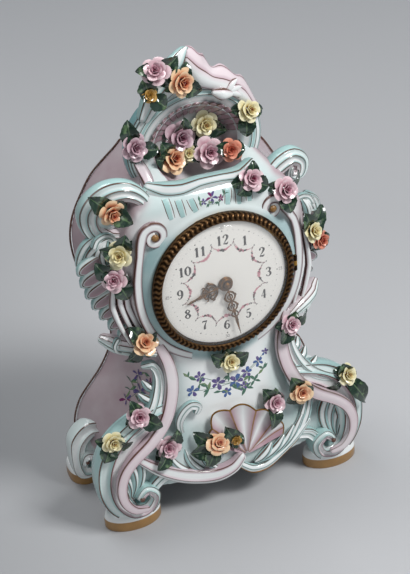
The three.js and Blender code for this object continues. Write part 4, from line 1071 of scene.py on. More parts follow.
@dataclass
class Case(Workshop):
    """The hollow casting: its body, dial boss and niche."""

    wall: float = 5.5
    bezel_radius: float = 59.0
    front_opening: float = 48.0
    rear_opening: float = 44.0
    cavity_top: float = 66.0
    cavity_floor: float = 16.0
    niche_rise: float = 101.0
    niche_wide: float = 47.0
    niche_tall: float = 40.0
    voxel: float = 1.7
    side_steps: int = 7
    bow: float = 0.75
    front_reach: float = -70.0
    rear_reach: float = 60.0

    def stations(self) -> list[Vector]:
        """Draws the body from its base to its top.

        Returns:
            The smoothed stations, whose last four values are both half widths, the front and the back face.
        """
        given = [Vector((0, 0, z, back, corner, face, BACK_FACE)) for z, back, corner, face in LOWER_STATIONS]
        given += [Vector((0, 0, up(rise), back, corner, face, BACK_FACE))
                  for rise, back, corner, face in UPPER_STATIONS]
        given[-1][6] -= 8
        given[-2][6] -= 3
        return spline(given, 5)

    def plan_ring(self, station: Vector, inset: float = 0.0, height: float | None = None) -> Ring:
        """Draws one plan outline: flat back, drawn-in side walls and a bowed front.

        Args:
            station: one smoothed station.
            inset: how far inside the outline the ring lies.
            height: another height for the ring.

        Returns:
            The points of the ring.
        """
        _, _, z, back, corner, face, rear = station
        wide, narrow = back - inset, corner - inset
        y_front, y_back = face + inset, rear - inset
        y_corner = lerp(y_front, y_back, 0.2)
        half = []
        for k in range(self.side_steps):
            t = k / self.side_steps
            half.append((lerp(wide, narrow, math.sin(t * math.pi / 2)), lerp(y_back, y_corner, t)))
        for degrees in range(0, 90, 8):
            turn = math.radians(degrees)
            half.append((narrow * math.cos(turn) ** self.bow,
                         y_corner - (y_corner - y_front) * math.sin(turn) ** self.bow))
        level = z if height is None else height
        ring = [Vector((x, y, level)) for x, y in half]
        ring.append(Vector((0, y_front, level)))
        ring += [Vector((-x, y, level)) for x, y in reversed(half)]
        ring += [Vector((-wide + 2 * wide * k / 6, y_back, level)) for k in range(1, 6)]
        return ring

    def cutters(self) -> list[Mesh]:
        """Shapes what is hollow.

        Returns:
            The cavity, the front and rear openings, the bezel's mouth and the niche's bowl as solids.
        """
        inside = [station for station in self.stations() if station[2] < up(self.cavity_top)]
        rings = [self.plan_ring(inside[0], self.wall, self.cavity_floor)]
        rings += [self.plan_ring(station, self.wall) for station in inside]
        rings.append(self.plan_ring(inside[-1], self.wall, up(self.cavity_top)))
        bowl = [(0, 5), (12, 4.9), (19, 4.2), (26, 2.2), (31, -1), (34, -5), (36, -10), (36.5, -24), (0, -24)]
        return [loft(rings), disc(self.front_opening, self.front_reach, 0),
                disc(self.rear_opening, 0, self.rear_reach),
                disc(self.bezel_radius + 10, self.front_reach, SEAT_FACE),
                turned(bowl, z=up(self.niche_rise), stretch=self.niche_tall / self.niche_wide)]

    def blank(self) -> list[Mesh]:
        """Shapes what is fused into the casting.

        Returns:
            The solids: the body, the dial's drum, the niche's back and the swellings where the clay is thick.
        """
        skirt = self.bezel_radius + 12
        drum = [(0, SEAT_FACE), (self.bezel_radius + 1.5, SEAT_FACE), (skirt, SEAT_FACE + 7), (skirt, -20), (0, -20)]
        parts = [loft([self.plan_ring(station) for station in self.stations()]), turned(drum),
                 disc(self.niche_wide, -6, 12, z=up(self.niche_rise), stretch=self.niche_tall / self.niche_wide)]
        for side in (-1, 1):
            parts += [bead((side * 87, -37, 42), 21, 0.5, 3), bead((side * 107, 28, 30), 13, 0.6, 3)]
        return [*parts, bead((-77, -12, up(70)), 12, 0.6, 3)]

    def tint(self, place: Vector, normal: Vector) -> Vector:
        """Chooses the painter's colour at a place on the body.

        Args:
            place: a point on the glaze.
            normal: the glaze's direction there.

        Returns:
            The linear colour.
        """
        x, y, z = place
        rise = z - DIAL_HEIGHT
        reach = math.hypot(x, rise)
        dish = math.hypot(x / self.niche_wide, (rise - self.niche_rise) / self.niche_tall)
        side = smooth(-37, -29, y) * smooth(0.12, 0.4, abs(normal.x)) * (1 - smooth(96, 108, rise))
        front = smooth(0.2, 0.6, -normal.y) * (1 - side)
        panel = front * (1 - smooth(-70, -58, rise)) * smooth(-150, -135, rise)
        bowl = (1 - smooth(0.8, 0.86, dish)) * smooth(-8, -4, y) * front
        colour = Vector(Paint.WHITE.tone)
        for paint, share in (
                (Paint.MAUVE, 0.85 * side),
                (Paint.TURQUOISE, 0.55 * front * smooth(56, 70, rise) * (1 - smooth(4, 10, y))),
                (Paint.DEEP_TURQUOISE, 0.85 * front * (1 - smooth(66, 72, reach)) * (1 - smooth(40, 62, rise))),
                (Paint.PALE, 0.9 * front * smooth(40, 60, rise) * (1 - smooth(66, 76, reach))),
                (Paint.TURQUOISE, 0.5 * panel * smooth(26, 46, abs(x))),
                (Paint.TURQUOISE, 0.5 * front * (1 - smooth(-128, -112, rise))),
                (Paint.MAUVE_GREY, 0.8 * bowl),
                (Paint.PALE, 0.75 * bowl * (1 - smooth(0.4, 0.56, dish)))):
            colour = colour.lerp(Vector(paint.tone), unit(share))
        return colour

    def build(self) -> None:
        """Fuses, hollows, paints and places the casting."""
        blank = Piece("blank")
        for part in self.blank():
            blank.add(part, self.palette.body)
        made = settled("blank", blank.mesh)
        fuse = made.modifiers.new("fuse", "REMESH")
        fuse.mode, fuse.voxel_size = "VOXEL", self.voxel
        made.modifiers.new("soften", "SMOOTH").iterations = 4
        tools = [settled("cutter", part) for part in self.cutters()]
        for tool in tools:
            cut = made.modifiers.new("cut", "BOOLEAN")
            cut.operation, cut.solver, cut.object = "DIFFERENCE", "EXACT", tool
        graph = bpy.context.evaluated_depsgraph_get()
        part = bmesh.new()
        part.from_mesh(bpy.data.meshes.new_from_object(made.evaluated_get(graph)))
        for name in ("across", "along"):
            if name not in part.verts.layers.float:
                part.verts.layers.float.new(name)
        layers = part.verts.layers.float_color
        layer = layers["tint"] if "tint" in layers else layers.new("tint")
        part.normal_update()
        for vert in part.verts:
            vert[layer] = self.tint(vert.co, vert.normal)
        piece = Piece("porcelain_body", replaces=("porcelain_case",))
        piece.add(part, self.palette.body)
        for item in [made, *tools]:
            bpy.data.objects.remove(item)
        self.fire(piece)

    def edge_lines(self) -> None:
        """Draws the brown line down the back edge of each side wall."""
        piece = Piece("brown_edge_lines")
        for side in (-1, 1):
            stations = [(side * (station[3] + 0.1), BACK_FACE - 1.2, station[2], 0.8, 0.8)
                        for station in self.stations() if 34 < station[2] < up(100)]
            piece.roll(self.palette.line, stations, 1, 10, facing=RIGHT * side)
        piece.finish(60.0)


@dataclass
class Sheet:
    """A thin leaf of clay over a surface that is given by its place across (-1 to 1) and along (0 to 1)."""

    surface: Callable[[float, float], Vector]
    columns: int = 7
    rows: int = 6
    thickness: float = 0.6
    rim: float = 0.5
    nudge: float = 0.02

    def build(self) -> Mesh:
        """Draws the leaf row by row, on both sides of its surface.

        Returns:
            The closed mesh.
        """
        rings = []
        nudge = self.nudge
        shares = [2 * k / (self.columns - 1) - 1 for k in range(self.columns)]
        levels = [0.0, *(row / self.rows for row in range(self.rows + 1)), 1.0]
        for number, v in enumerate(levels):
            flat = 0.0 if number in (0, len(levels) - 1) else 1.0
            top, bottom = [], []
            for u in shares:
                place = self.surface(u, v)
                across = self.surface(u + nudge, v) - self.surface(u - nudge, v)
                along = self.surface(u, v + nudge) - self.surface(u, v - nudge)
                thin = lerp(1.0, self.rim, max(abs(u) ** 3, v ** 3))
                offset = across.cross(along).normalized() * (self.thickness * thin / 2 * flat)
                top.append(place + offset)
                bottom.append(place - offset)
            rings.append(top + bottom[::-1])
        values = [(u + 1) / 2 for u in shares]
        return loft(rings, values + values[::-1], pinched=True)


@dataclass(frozen=True)
class Whorl:
    """One ring of petals round the heart, in shares of the bloom's radius, with both lean angles in degrees."""

    petals: int
    start: float
    height: float
    length: float
    lean: float
    end_lean: float
    half: float
    tone: float


WHORLS = (
    Whorl(5, 0.18, -0.34, 1.0, 24, 108, 0.76, 1.0),
    Whorl(5, 0.15, -0.18, 0.9, 12, 78, 0.84, 0.93),
    Whorl(5, 0.13, -0.04, 0.76, 2, 50, 0.92, 0.82),
    Whorl(4, 0.11, 0.04, 0.64, -4, 26, 1.15, 0.62),
    Whorl(3, 0.09, 0.08, 0.54, -8, 6, 1.5, 0.42),
    Whorl(3, 0.05, 0.06, 0.42, -8, -6, 1.7, 0.24),
)


@dataclass(frozen=True)
class Rose:
    """One bloom of a spray: its place on the front, its radius, its colour and how far it stands forward."""

    x: float
    z: float
    radius: float
    bloom: Bloom
    forward: float = 0.0


@dataclass(frozen=True)
class Spray:
    """The roses and the leaves' places of one spray, which stands for a node of the frame."""

    node: str
    roses: tuple[Rose, ...]
    leaves: tuple[Point, ...]


@dataclass
class Flowers(Workshop):
    """Every spray of roses and leaves, stuck on the clay with slip."""

    leaf_width: float = 6.6
    petal_thickness: float = 0.55
    swell: float = 1.13
    samples: int = 20

    def petal(self, centre: Vector, axis: Vector, size: float, whorl: Whorl, turn: float) -> Sheet:
        """Shapes one petal that curls out from the heart.

        Args:
            centre: the bloom's centre.
            axis: the way that the bloom faces.
            size: the bloom's radius.
            whorl: the ring of petals that it belongs to.
            turn: the petal's direction round the axis.

        Returns:
            The petal.
        """
        one = axis.orthogonal().normalized()
        two = axis.cross(one)
        wave = random.uniform(0, math.tau)
        step = whorl.length * random.uniform(0.93, 1.05) / self.samples
        curl = [(whorl.start, whorl.height)]
        for k in range(self.samples + 4):
            angle = math.radians(lerp(whorl.lean, whorl.end_lean, ((k + 0.5) / self.samples) ** 1.25))
            curl.append((curl[-1][0] + step * math.sin(angle), curl[-1][1] + step * math.cos(angle)))

        def surface(u: float, v: float) -> Vector:
            """Finds the petal's middle surface.

            Args:
                u: the share across.
                v: the share along.

            Returns:
                The place.
            """
            reach = max(v, 0.0) * (1 - 0.2 * u * u) * self.samples
            low = min(int(reach), len(curl) - 2)
            radius = lerp(curl[low][0], curl[low + 1][0], reach - low) + 0.07 * u * u * v
            rise = lerp(curl[low][1], curl[low + 1][1], reach - low)
            rise += 0.035 * v * math.sin(3.4 * u + wave) - 0.05 * u * u * v
            angle = turn + u * whorl.half * math.sin(math.pi * (0.2 + 0.62 * unit(v))) ** 0.6
            return centre + (axis * rise + (one * math.cos(angle) + two * math.sin(angle)) * radius) * size

        return Sheet(surface, 7, 6, self.petal_thickness, 0.45)

    def leaf(self, root: Vector, tip: Vector, out: Vector, width: float) -> Mesh:
        """Shapes one pointed leaf with a saw edge and a folded rib.

        Args:
            root: where it leaves the bloom.
            tip: where its point lies.
            out: the way that its face looks.
            width: half its greatest width.

        Returns:
            The closed mesh.
        """
        run = tip - root
        side = run.cross(out).normalized()
        lift = side.cross(run).normalized() * (1 if side.cross(run).dot(out) > 0 else -1)
        wave = random.uniform(0, math.tau)
        length = run.length

        def surface(u: float, v: float) -> Vector:
            """Finds the leaf's middle surface.

            Args:
                u: the share across.
                v: the share along.

            Returns:
                The place.
            """
            along = unit(v)
            saw = 1 + 0.13 * (1 - (along * 6) % 1.0)
            half = width * math.sin(math.pi * along ** 0.75) ** 0.75 * saw + 0.15
            arch = 0.2 * length * math.sin(math.pi * v * 0.9)
            ripple = 0.06 * length * math.sin(5 * v + wave) * u
            return root + run * v + side * (u * half) + lift * (arch + abs(u) * half * 0.35 + ripple)

        return Sheet(surface, 7, 14, 0.7, 0.5).build()

    def rose(self, piece: Piece, rose: Rose, centre: Vector, axis: Vector) -> None:
        """Models one bloom: its petals, the cup behind them and its heart.

        Args:
            piece: the spray.
            rose: the bloom.
            centre: the bloom's centre.
            axis: the way that it faces.
        """
        petals, radius = self.palette.petals[rose.bloom], rose.radius
        turn = random.uniform(0, math.tau)
        for number, whorl in enumerate(WHORLS):
            for k in range(whorl.petals):
                angle = turn + number * 0.6 + math.tau * k / whorl.petals
                part = self.petal(centre, axis, radius * self.swell, whorl, angle).build()
                along = part.verts.layers.float["along"]
                for vert in part.verts:
                    vert[along] *= whorl.tone
                piece.add(part, petals)
        cup = [(*(centre - axis * (deep * radius)), radius * wide, radius * wide)
               for deep, wide in ((0.62, 0.5), (0.2, 0.42))]
        piece.roll(self.palette.leaf, cup, 3, 12, facing=axis.orthogonal())
        piece.add(bead(centre + axis * (0.3 * radius), radius * 0.14), petals)

    def spray(self, spray: Spray) -> None:
        """Models one spray on the clay.

        Args:
            spray: its roses and leaves.
        """
        piece = Piece(f"{spray.node}_modelled", slot="flowers", replaces=(spray.node,))
        seats = []
        for rose in spray.roses:
            hit, normal = self.clay.seat(rose.x, rose.z)
            axis = (normal + FRONT * 0.8 + Vector((0.002 * rose.x, 0, 0.5))).normalized()
            centre = hit + axis * (0.3 * rose.radius) + FRONT * rose.forward
            seats.append((centre, axis, rose.radius))
            self.rose(piece, rose, centre, axis)
        for x, z in spray.leaves:
            hit, normal = self.clay.seat(x, z)
            centre, axis, radius = min(seats, key=lambda item: (item[0] - hit).length)
            tip = hit + normal * 2.2
            way = (tip - centre).normalized()
            root = centre - axis * (0.3 * radius) + way * (0.35 * radius)
            piece.add(self.leaf(root, tip + way * 3, (normal + FRONT).normalized(), self.leaf_width), self.palette.leaf)
        for centre, axis, radius in seats:
            turn = random.uniform(0, math.tau)
            for k in range(2):
                angle = turn + k * random.uniform(1.8, 3.2)
                way = Vector((math.cos(angle), 0.2, math.sin(angle)))
                root = centre - axis * (0.35 * radius)
                tip = centre + way * (radius * random.uniform(1.35, 1.6)) - axis * (0.25 * radius)
                piece.add(self.leaf(root, tip, axis, self.leaf_width * 0.8), self.palette.leaf)
        piece.finish(60.0)

    def build(self) -> None:
        """Models every spray."""
        for spray in SPRAYS:
            self.spray(spray)


SPRAYS = (
    Spray("crest_roses", (Rose(-29, up(164), 10.5, Bloom.PINK), Rose(-13, up(155), 10.5, Bloom.ORANGE),
                          Rose(-36, up(149), 5.5, Bloom.GOLD)),
          ((-15, up(173)), (-28, up(141)), (2, up(147)), (-40, up(158)))),
    Spray("niche_bouquet", (Rose(-10, up(104), 12, Bloom.MAUVE), Rose(11, up(111), 10, Bloom.YELLOW),
                            Rose(25, up(92), 8.5, Bloom.RED, 12), Rose(9, up(91), 11.5, Bloom.PINK, 9),
                            Rose(-20, up(90), 11.5, Bloom.ORANGE, 3), Rose(-6, up(92), 8, Bloom.YELLOW, 5)),
          ((-8, up(121)), (-32, up(96)), (32, up(90)), (26, up(106)), (-28, up(106)))),
    Spray("niche_left_rose", (Rose(-51, up(110), 10, Bloom.MAUVE),), ((-58, up(128)), (-36, up(106)))),
    Spray("niche_right_rose", (Rose(41, up(119), 9.5, Bloom.YELLOW),), ((41, up(102)),)),
    Spray("ledge_rose", (Rose(29, up(76), 9.5, Bloom.PINK),), ((40, up(70)), (18, up(70)))),
    Spray("left_shoulder_rose", (Rose(-79, up(72), 10, Bloom.ORANGE),), ((-91, up(84)), (-66, up(63)))),
    Spray("right_shoulder_rose", (Rose(56, up(61), 10, Bloom.PINK),), ((72, up(70)), (59, up(46)))),
    Spray("left_flank_roses", (Rose(-77, up(38), 10, Bloom.YELLOW), Rose(-83, up(20), 9.5, Bloom.PINK)),
          ((-72, up(52)), (-93, up(33)), (-76, up(4)))),
    Spray("right_flank_roses", (Rose(80, up(18), 9, Bloom.YELLOW), Rose(92, up(4), 7.5, Bloom.RED)),
          ((75, up(33)), (92, up(30)))),
    Spray("left_waist_rose", (Rose(-67, up(-40), 10, Bloom.ORANGE),), ((-76, up(-26)), (-80, up(-48)))),
    Spray("right_waist_rose", (Rose(55, up(-55), 8.5, Bloom.PINK),), ((68, up(-46)), (47, up(-66)))),
    Spray("center_rose", (Rose(1, up(-73), 8.5, Bloom.YELLOW),), ((-12, up(-64)), (15, up(-70)))),
    Spray("left_side_rose", (Rose(-80, 104, 9.5, Bloom.PINK),), ((-66, 95),)),
    Spray("left_foot_rose", (Rose(-104, 88, 9, Bloom.YELLOW),), ((-92, 88), (-110, 74))),
    Spray("base_left_rose", (Rose(-57, 65, 9.5, Bloom.PINK),), ((-69, 55), (-50, 80))),
    Spray("base_center_rose", (Rose(-20, 61, 10.5, Bloom.ORANGE), Rose(-2, 60, 4.5, Bloom.GOLD)),
          ((-34, 73), (-8, 73), (-28, 46), (-38, 58))),
    Spray("shell_rose", (Rose(36, 79, 9, Bloom.PINK),), ((28, 92), (29, 63))),
    Spray("right_base_rose", (Rose(58, 86, 9.5, Bloom.ORANGE),), ((52, 98), (66, 88))),
    Spray("right_foot_rose", (Rose(101, 86, 9, Bloom.YELLOW),), ((86, 84), (116, 58), (108, 96))),
)


# Each leg's stations are given from the foot's own place, from the waist down and in to its eye
FRONT_LEG = (
    (-34, -2, 99, 8, 8), (-10, -2, 90, 13, 11), (8, -1, 73, 15, 13), (16, -1, 49, 14, 14),
    (12, -2, 26, 12, 13), (1, -3, 14, 9, 13), (-12, -5, 17, 7, 12), (-16, -7, 28, 5.5, 11),
    (-9, -9, 35, 4.5, 10), (-3, -10, 29, 3.5, 9),
)
FRONT_TONGUE = ((-14, -6, 28, 5, 6), (-24, -9, 40, 5, 6), (-38, -11, 43, 4, 5), (-46, -12, 39, 2, 3))
BACK_LEG = (
    (-18, -10, 48, 6, 9), (-6, -11, 53, 8, 11), (5, -11, 44, 8, 12), (8, -12, 28, 7, 12),
    (4, -13, 15, 7, 12), (-5, -14, 16, 5.5, 11), (-6, -16, 26, 4.5, 10), (1, -18, 31, 3.5, 9),
    (4, -18, 25, 2.5, 8),
)
PLUMAGE = (((104, -45, 82), 0.3), ((111, -43, 73), 0.28), ((116, -41, 61), 0.26), ((117, -40, 48), 0.25),
           ((115, -41, 36), 0.24), ((110, -43, 26), 0.2))


@dataclass
class Feet(Workshop):
    """Four scroll feet, each a banded volute that stands on a gold-edged pad."""

    front: Point = (90.0, -40.0)
    back: Point = (106.0, 38.0)
    front_pad: Point = (24.0, 15.0)
    back_pad: Point = (14.0, 18.0)
    pad_height: float = 15.0

    def sweep(self, foot: Point, offsets: Sequence[Station]) -> list[Station]:
        """Returns the stations of a scroll that is given from a foot's place."""
        return [(foot[0] + dx, foot[1] + dy, *rest) for dx, dy, *rest in offsets]

    def pad(self, foot: Point, side: int, size: Point) -> Mesh:
        """Shapes the low oval pad under a foot.

        Args:
            foot: the foot's place.
            side: the side of the clock.
            size: half the pad's length across and along Y.

        Returns:
            A closed mesh.
        """
        turns = [math.tau * k / 40 for k in range(40)]
        return loft([
            [Vector((side * foot[0] + size[0] * scale * math.cos(a), foot[1] + size[1] * scale * math.sin(a),
                     self.pad_height * share)) for a in turns]
            for share, scale in ((0, 0.97), (0.06, 1.0), (0.58, 1.0), (0.66, 0.985), (0.9, 0.93), (1.0, 0.86))])

    def build(self) -> None:
        """Models the front and the back feet."""
        palette = self.palette
        front, back = Piece("front_scroll_feet"), Piece("back_scroll_feet")
        for side in (-1, 1):
            front.roll(palette.leg, self.sweep(self.front, FRONT_LEG), 8, 56, side, square=0.6,
                       ridges=(0.04, 0.36, 0.74, 0.96), valley=0.7, ridge_width=0.05, veins=0.07)
            front.roll(palette.roll, self.sweep(self.front, FRONT_TONGUE), 8, 24, side, square=0.7, ridges=(0.1, 0.9))
            for tip, bow in PLUMAGE:
                front.roll(palette.feather, feather((94, -47, 24), tip, bow, 4.6, 5.0), 6, 14, side)
            front.add(bead((side * 86, -57.5, 30), 2.1, 0.8), palette.line)
            back.add(bead((side * 108, 12.5, 28), 1.8, 0.8), palette.line)
            front.add(self.pad(self.front, side, self.front_pad), palette.foot)
            back.roll(palette.back_leg, self.sweep(self.back, BACK_LEG), 8, 36, side, square=0.65,
                      ridges=(0.05, 0.5, 0.95), valley=0.7)
            back.add(self.pad(self.back, side, self.back_pad), palette.foot)
        self.fire(front)
        self.fire(back)


@dataclass
class Mouldings(Workshop):
    """The scrolls, shells and fronds that are moulded on the case."""

    scroll_depth: float = 3.2
    niche_rise: float = Case.niche_rise
    niche_wide: float = Case.niche_wide
    niche_tall: float = Case.niche_tall
    niche_rim: float = 9.0
    lobes: int = 7

    def dial_scrolls(self) -> None:
        """Models the long C-scrolls beside the dial with their spiral eyes."""
        piece = Piece("dial_scrolls")
        y, depth = SEAT_FACE + 4, self.scroll_depth
        band = [(7, y + 1, up(-68), 2.2, 2), (26, y, up(-62), 3.2, depth), (46, y, up(-49), 3.6, depth),
                (60, y, up(-30), 3.8, depth), (66.5, y, up(-8), 3.9, depth), (67, y, up(15), 3.8, depth),
                (63.5, y, up(36), 3.4, depth)]
        for side, x, radius in ((-1, 51, 10), (1, 46, 9)):
            winding = volute((x, y, up(49)), radius, 0, 440, depth)
            piece.roll(self.palette.scroll, [*band, *winding], 6, 28, side, square=0.65, ridges=(0.1, 0.9), valley=0.7)
            piece.add(bead((side * x, y - depth + 0.6, up(49)), 3.0, 0.7), self.palette.ink[Paint.GOLD_LINE])
        self.fire(piece)

    def shoulders(self) -> None:
        """Models the rolled shoulders over the side walls."""
        piece = Piece("rolled_shoulders")
        left = [(-50, -27, up(66), 4, 4), (-53, -25, up(75), 6, 6), (-64, -21, up(83), 8.5, 8),
                (-80, -18, up(82), 10, 9), (-92, -15, up(70), 9.5, 9), (-90, -15, up(55), 8, 8),
                (-78, -19, up(47), 6.5, 7), (-65, -25, up(49), 4.5, 5), (-57, -29, up(54), 3, 4)]
        curl = [(-49, -2, up(100), 3, 4), (-46, -9, up(92), 4.5, 5), (-45, -17, up(84), 4.8, 5),
                (-48, -24, up(77), 4.2, 5), (-55, -25, up(73), 3.4, 4.5), (-58, -24, up(78), 2.6, 4),
                (-54, -25, up(80), 2, 3.5)]
        right = [(34, -25, up(70), 4, 5), (49, -22, up(69), 6.5, 7), (60, -19, up(74), 8.5, 8),
                 (73, -17, up(78), 8, 8), (82, -16, up(71), 6.5, 6), (80, -17, up(62), 5, 5),
                 (72, -18, up(62), 3.6, 4), (72, -19, up(69), 2.6, 4)]
        shape = {"square": 0.7, "ridges": (0.05, 0.34, 0.7, 0.95), "valley": 0.74}
        piece.roll(self.palette.shoulder, left, 8, 40, flip=True, **shape)
        piece.roll(self.palette.pilaster, curl, 8, 26, flip=True, square=0.7, ridges=(0.08, 0.92))
        piece.roll(self.palette.shoulder, right, 8, 40, **shape)
        piece.add(bead((-78, -13, up(66)), 15, 0.75, 3), self.palette.clouded)
        self.fire(piece)

    def wings(self) -> None:
        """Models the shell wings: a scrolled rim, a stack of lobes and long quills beside the dial."""
        piece, palette = Piece("shell_wings"), self.palette
        rim = [(90, -20, 49, 4, 5), (97, -17, 43, 5, 5), (101, -14, 34, 4.6, 5), (103, -12, 27, 3, 4)]
        for side, drawn, drop in ((-1, 0, 0), (1, 6, 7)):
            placed = [(x - drawn, y, up(rise - drop), w, d) for x, y, rise, w, d in rim]
            curl = volute((84 - drawn, -24, up(44 - drop)), 8.5, 0, 400, 4)[::-1]
            piece.roll(palette.roll, [*curl, *placed], 6, 26, side, square=0.7, ridges=(0.08, 0.92))
            for x, y, rise in ((98, -16, 31), (92, -20, 29), (86, -25, 27)):
                end = (x - drawn, y, up(rise - drop))
                piece.roll(palette.feather, feather((84 - drawn, -26, up(49 - drop)), end, 0.1, 4, 4), 6, 14, side)
            for i in range(self.lobes):
                share = i / (self.lobes - 1)
                height = up(lerp(25, -35, share) - drop)
                reach = 103 - drawn - 25 * share ** 1.7
                size, front = lerp(6.0, 5.0, share), -17 - 5 * share
                lobe = [(reach + dx, front + dy, height + dz, size * width, depth) for dx, dy, dz, width, depth in (
                    (-21, -9, 13, 0.55, 3), (-12, -5, 8, 1, 5.5), (-4, -1, 2, 1.05, 6), (0, 1, -1.5, 0.82, 5.5),
                    (1.5, 2, -4, 0.4, 4))]
                piece.roll(palette.lobe, lobe, 5, 22, side, ridges=(0.12, 0.88), valley=0.62, ridge_width=0.16)
            eye = volute((80 - drawn, -27, up(-43 - drop)), 6.5, 60, -400, 4.5)
            piece.roll(palette.roll, eye, 6, 18, side, flip=side > 0, ridges=(0.15, 0.85))
            for places in (((76, 32), (80, -4), (66, -46)), ((81, 26), (86, -6), (72, -48)),
                           ((73, 20), (74, -8), (58, -50))):
                quill = [(x - drawn, y, up(rise - drop), w, d) for (x, rise), (y, w, d) in zip(
                    places, ((-32, 1.4, 2.2), (-30, 2.7, 3.2), (-34, 1.0, 2)))]
                piece.roll(palette.quill, quill, 10, 14, side)
        self.fire(piece)

    def waist(self) -> None:
        """Models the waist leaves, the pilasters and the acanthus that runs down beside them."""
        piece, palette = Piece("waist_pilasters"), self.palette
        leaf = [(92, -14, up(-40), 4, 5), (84, -22, up(-43), 7, 7), (72, -32, up(-45), 6.5, 6),
                (58, -38, up(-50), 3.5, 4)]
        pilaster = [(55, -38, 156, 4, 3), (50, -41, 142, 5, 3.5), (48, -43, 125, 5.6, 3.8), (52, -46, 106, 5.8, 4.2),
                    (60, -49, 91, 5.8, 4.8), (74, -53, 79, 5.6, 5), (87, -56, 72, 5.2, 5), (98, -58, 62, 5, 4.6),
                    (103, -59.5, 48, 4.6, 4.2), (101, -60, 34, 4, 4), (93, -60, 24, 3.4, 3.6), (83, -60, 22, 2.4, 3)]
        acanthus = [(66, -30, 136, 2.6, 4), (60, -34, 137, 3.4, 5), (57, -37, 129, 4, 5), (60, -40, 114, 5, 6),
                    (68, -44, 101, 5.4, 6), (82, -47, 91, 4.6, 5), (95, -48, 86, 3, 4)]
        for side in (-1, 1):
            piece.roll(palette.shoulder, leaf, 8, 32, side, square=0.7, ridges=(0.05, 0.35, 0.7, 0.95))
            piece.roll(palette.pilaster, pilaster, 8, 30, side, square=0.6, ridges=(0.06, 0.94), valley=0.75)
            piece.roll(palette.roll, acanthus, 8, 30, side, square=0.7, ridges=(0.06, 0.5, 0.94))
            for root, tip in (((60, -38, 116), (68, -31, 122)), ((63, -41, 108), (73, -34, 113)),
                              ((69, -44, 101), (80, -40, 105))):
                piece.roll(palette.feather, feather(root, tip, -0.12, 3.8, 4), 6, 14, side)
        self.fire(piece)

    def shell(self, piece: Piece) -> None:
        """Models the gold-edged shell in the middle of the apron.

        Args:
            piece: the apron.
        """
        root = Vector((7, 0, 43))
        outline = spline([Vector((degrees, 0, reach)) for degrees, reach in (
            (150, 34), (137, 42), (121, 50), (101, 48), (79, 42), (55, 38), (30, 37), (12, 36))], 6)

        def surface(u: float, v: float) -> Vector:
            """Finds the shell's middle surface.

            Args:
                u: the share across.
                v: the share along.

            Returns:
                The place.
            """
            place = unit((u + 1) / 2) * (len(outline) - 1)
            low = min(int(place), len(outline) - 2)
            sample = outline[low].lerp(outline[low + 1], place - low)
            lobe = abs(math.sin(math.pi * 5 * (u + 1) / 2))
            reach = sample.z * v * (1 + 0.09 * (lobe - 0.6) * v)
            turn = math.radians(sample.x)
            x, z = root.x + reach * math.cos(turn), root.z + reach * math.sin(turn)
            body = lerp(-55.0, -47.0, unit((z - 44) / 48)) + 0.0035 * x * x
            y = body - 1.0 - 5.5 * v ** 4 - 2.4 * (1 - lobe) * math.sqrt(math.sin(math.pi * unit(v)))
            return Vector((x, y, z))

        piece.add(Sheet(surface, 61, 16, 1.8, 0.6).build(), self.palette.shell)
        piece.roll(self.palette.gold, [(*surface(-1 + 2 * k / 80, 1.0), 0.75, 0.75) for k in range(81)], 1, 8)

    def apron(self) -> None:
        """Models the apron's bands, its curl and the shell in its middle."""
        piece, palette = Piece("apron_bands"), self.palette
        band = [(-82, -49, 62, 3.5, 4), (-69, -50, 50, 5, 5), (-53, -53, 41, 6, 6), (-36, -55, 35, 6.5, 6),
                (-19, -57, 33, 6.5, 6), (-6, -58, 37, 5.5, 6), (1, -58, 44, 4, 5)]
        border = [(-1, -57, 37, 3, 4), (9, -58, 29, 3.6, 4), (22, -58, 28, 3.6, 4), (36, -56, 34, 3.6, 4),
                  (52, -53, 43, 3.6, 4), (66, -49, 54, 3, 4)]
        curl = [(-44, -44, 72, 2.4, 4), (-46, -46, 84, 3.4, 4), (-43, -48, 94, 4, 4), (-36, -49, 100, 4, 4),
                (-30, -49, 97, 3.4, 4), (-32, -49, 92, 2.5, 3)]
        piece.roll(palette.apron, band, 8, 36, square=0.65, ridges=(0.06, 0.7, 0.95), valley=0.74)
        piece.roll(palette.roll, border, 8, 20)
        piece.roll(palette.gold, [(x, y - d * 0.7, z - w * 0.8, 0.7, 0.7) for x, y, z, w, d in border], 8, 8)
        piece.roll(palette.roll, curl, 8, 24, square=0.7, ridges=(0.08, 0.92))
        for tip, bow in (((28, -58, 47), -0.1), ((40, -57, 50), -0.12), ((50, -55, 55), -0.14),
                         ((60, -51, 60), -0.16), ((66, -47, 70), -0.2), ((72, -46, 80), -0.24)):
            piece.roll(palette.feather, feather((14, -58, 34), tip, bow, 4.2, 4), 7, 14)
        for root, tip in (((-40, -54, 40), (-58, -46, 60)), ((-30, -55, 38), (-44, -48, 60)),
                          ((-20, -56, 38), (-30, -50, 58))):
            piece.roll(palette.feather, feather(root, tip, 0.15, 3.6, 4), 6, 14, flip=True)
        self.shell(piece)
        self.fire(piece)

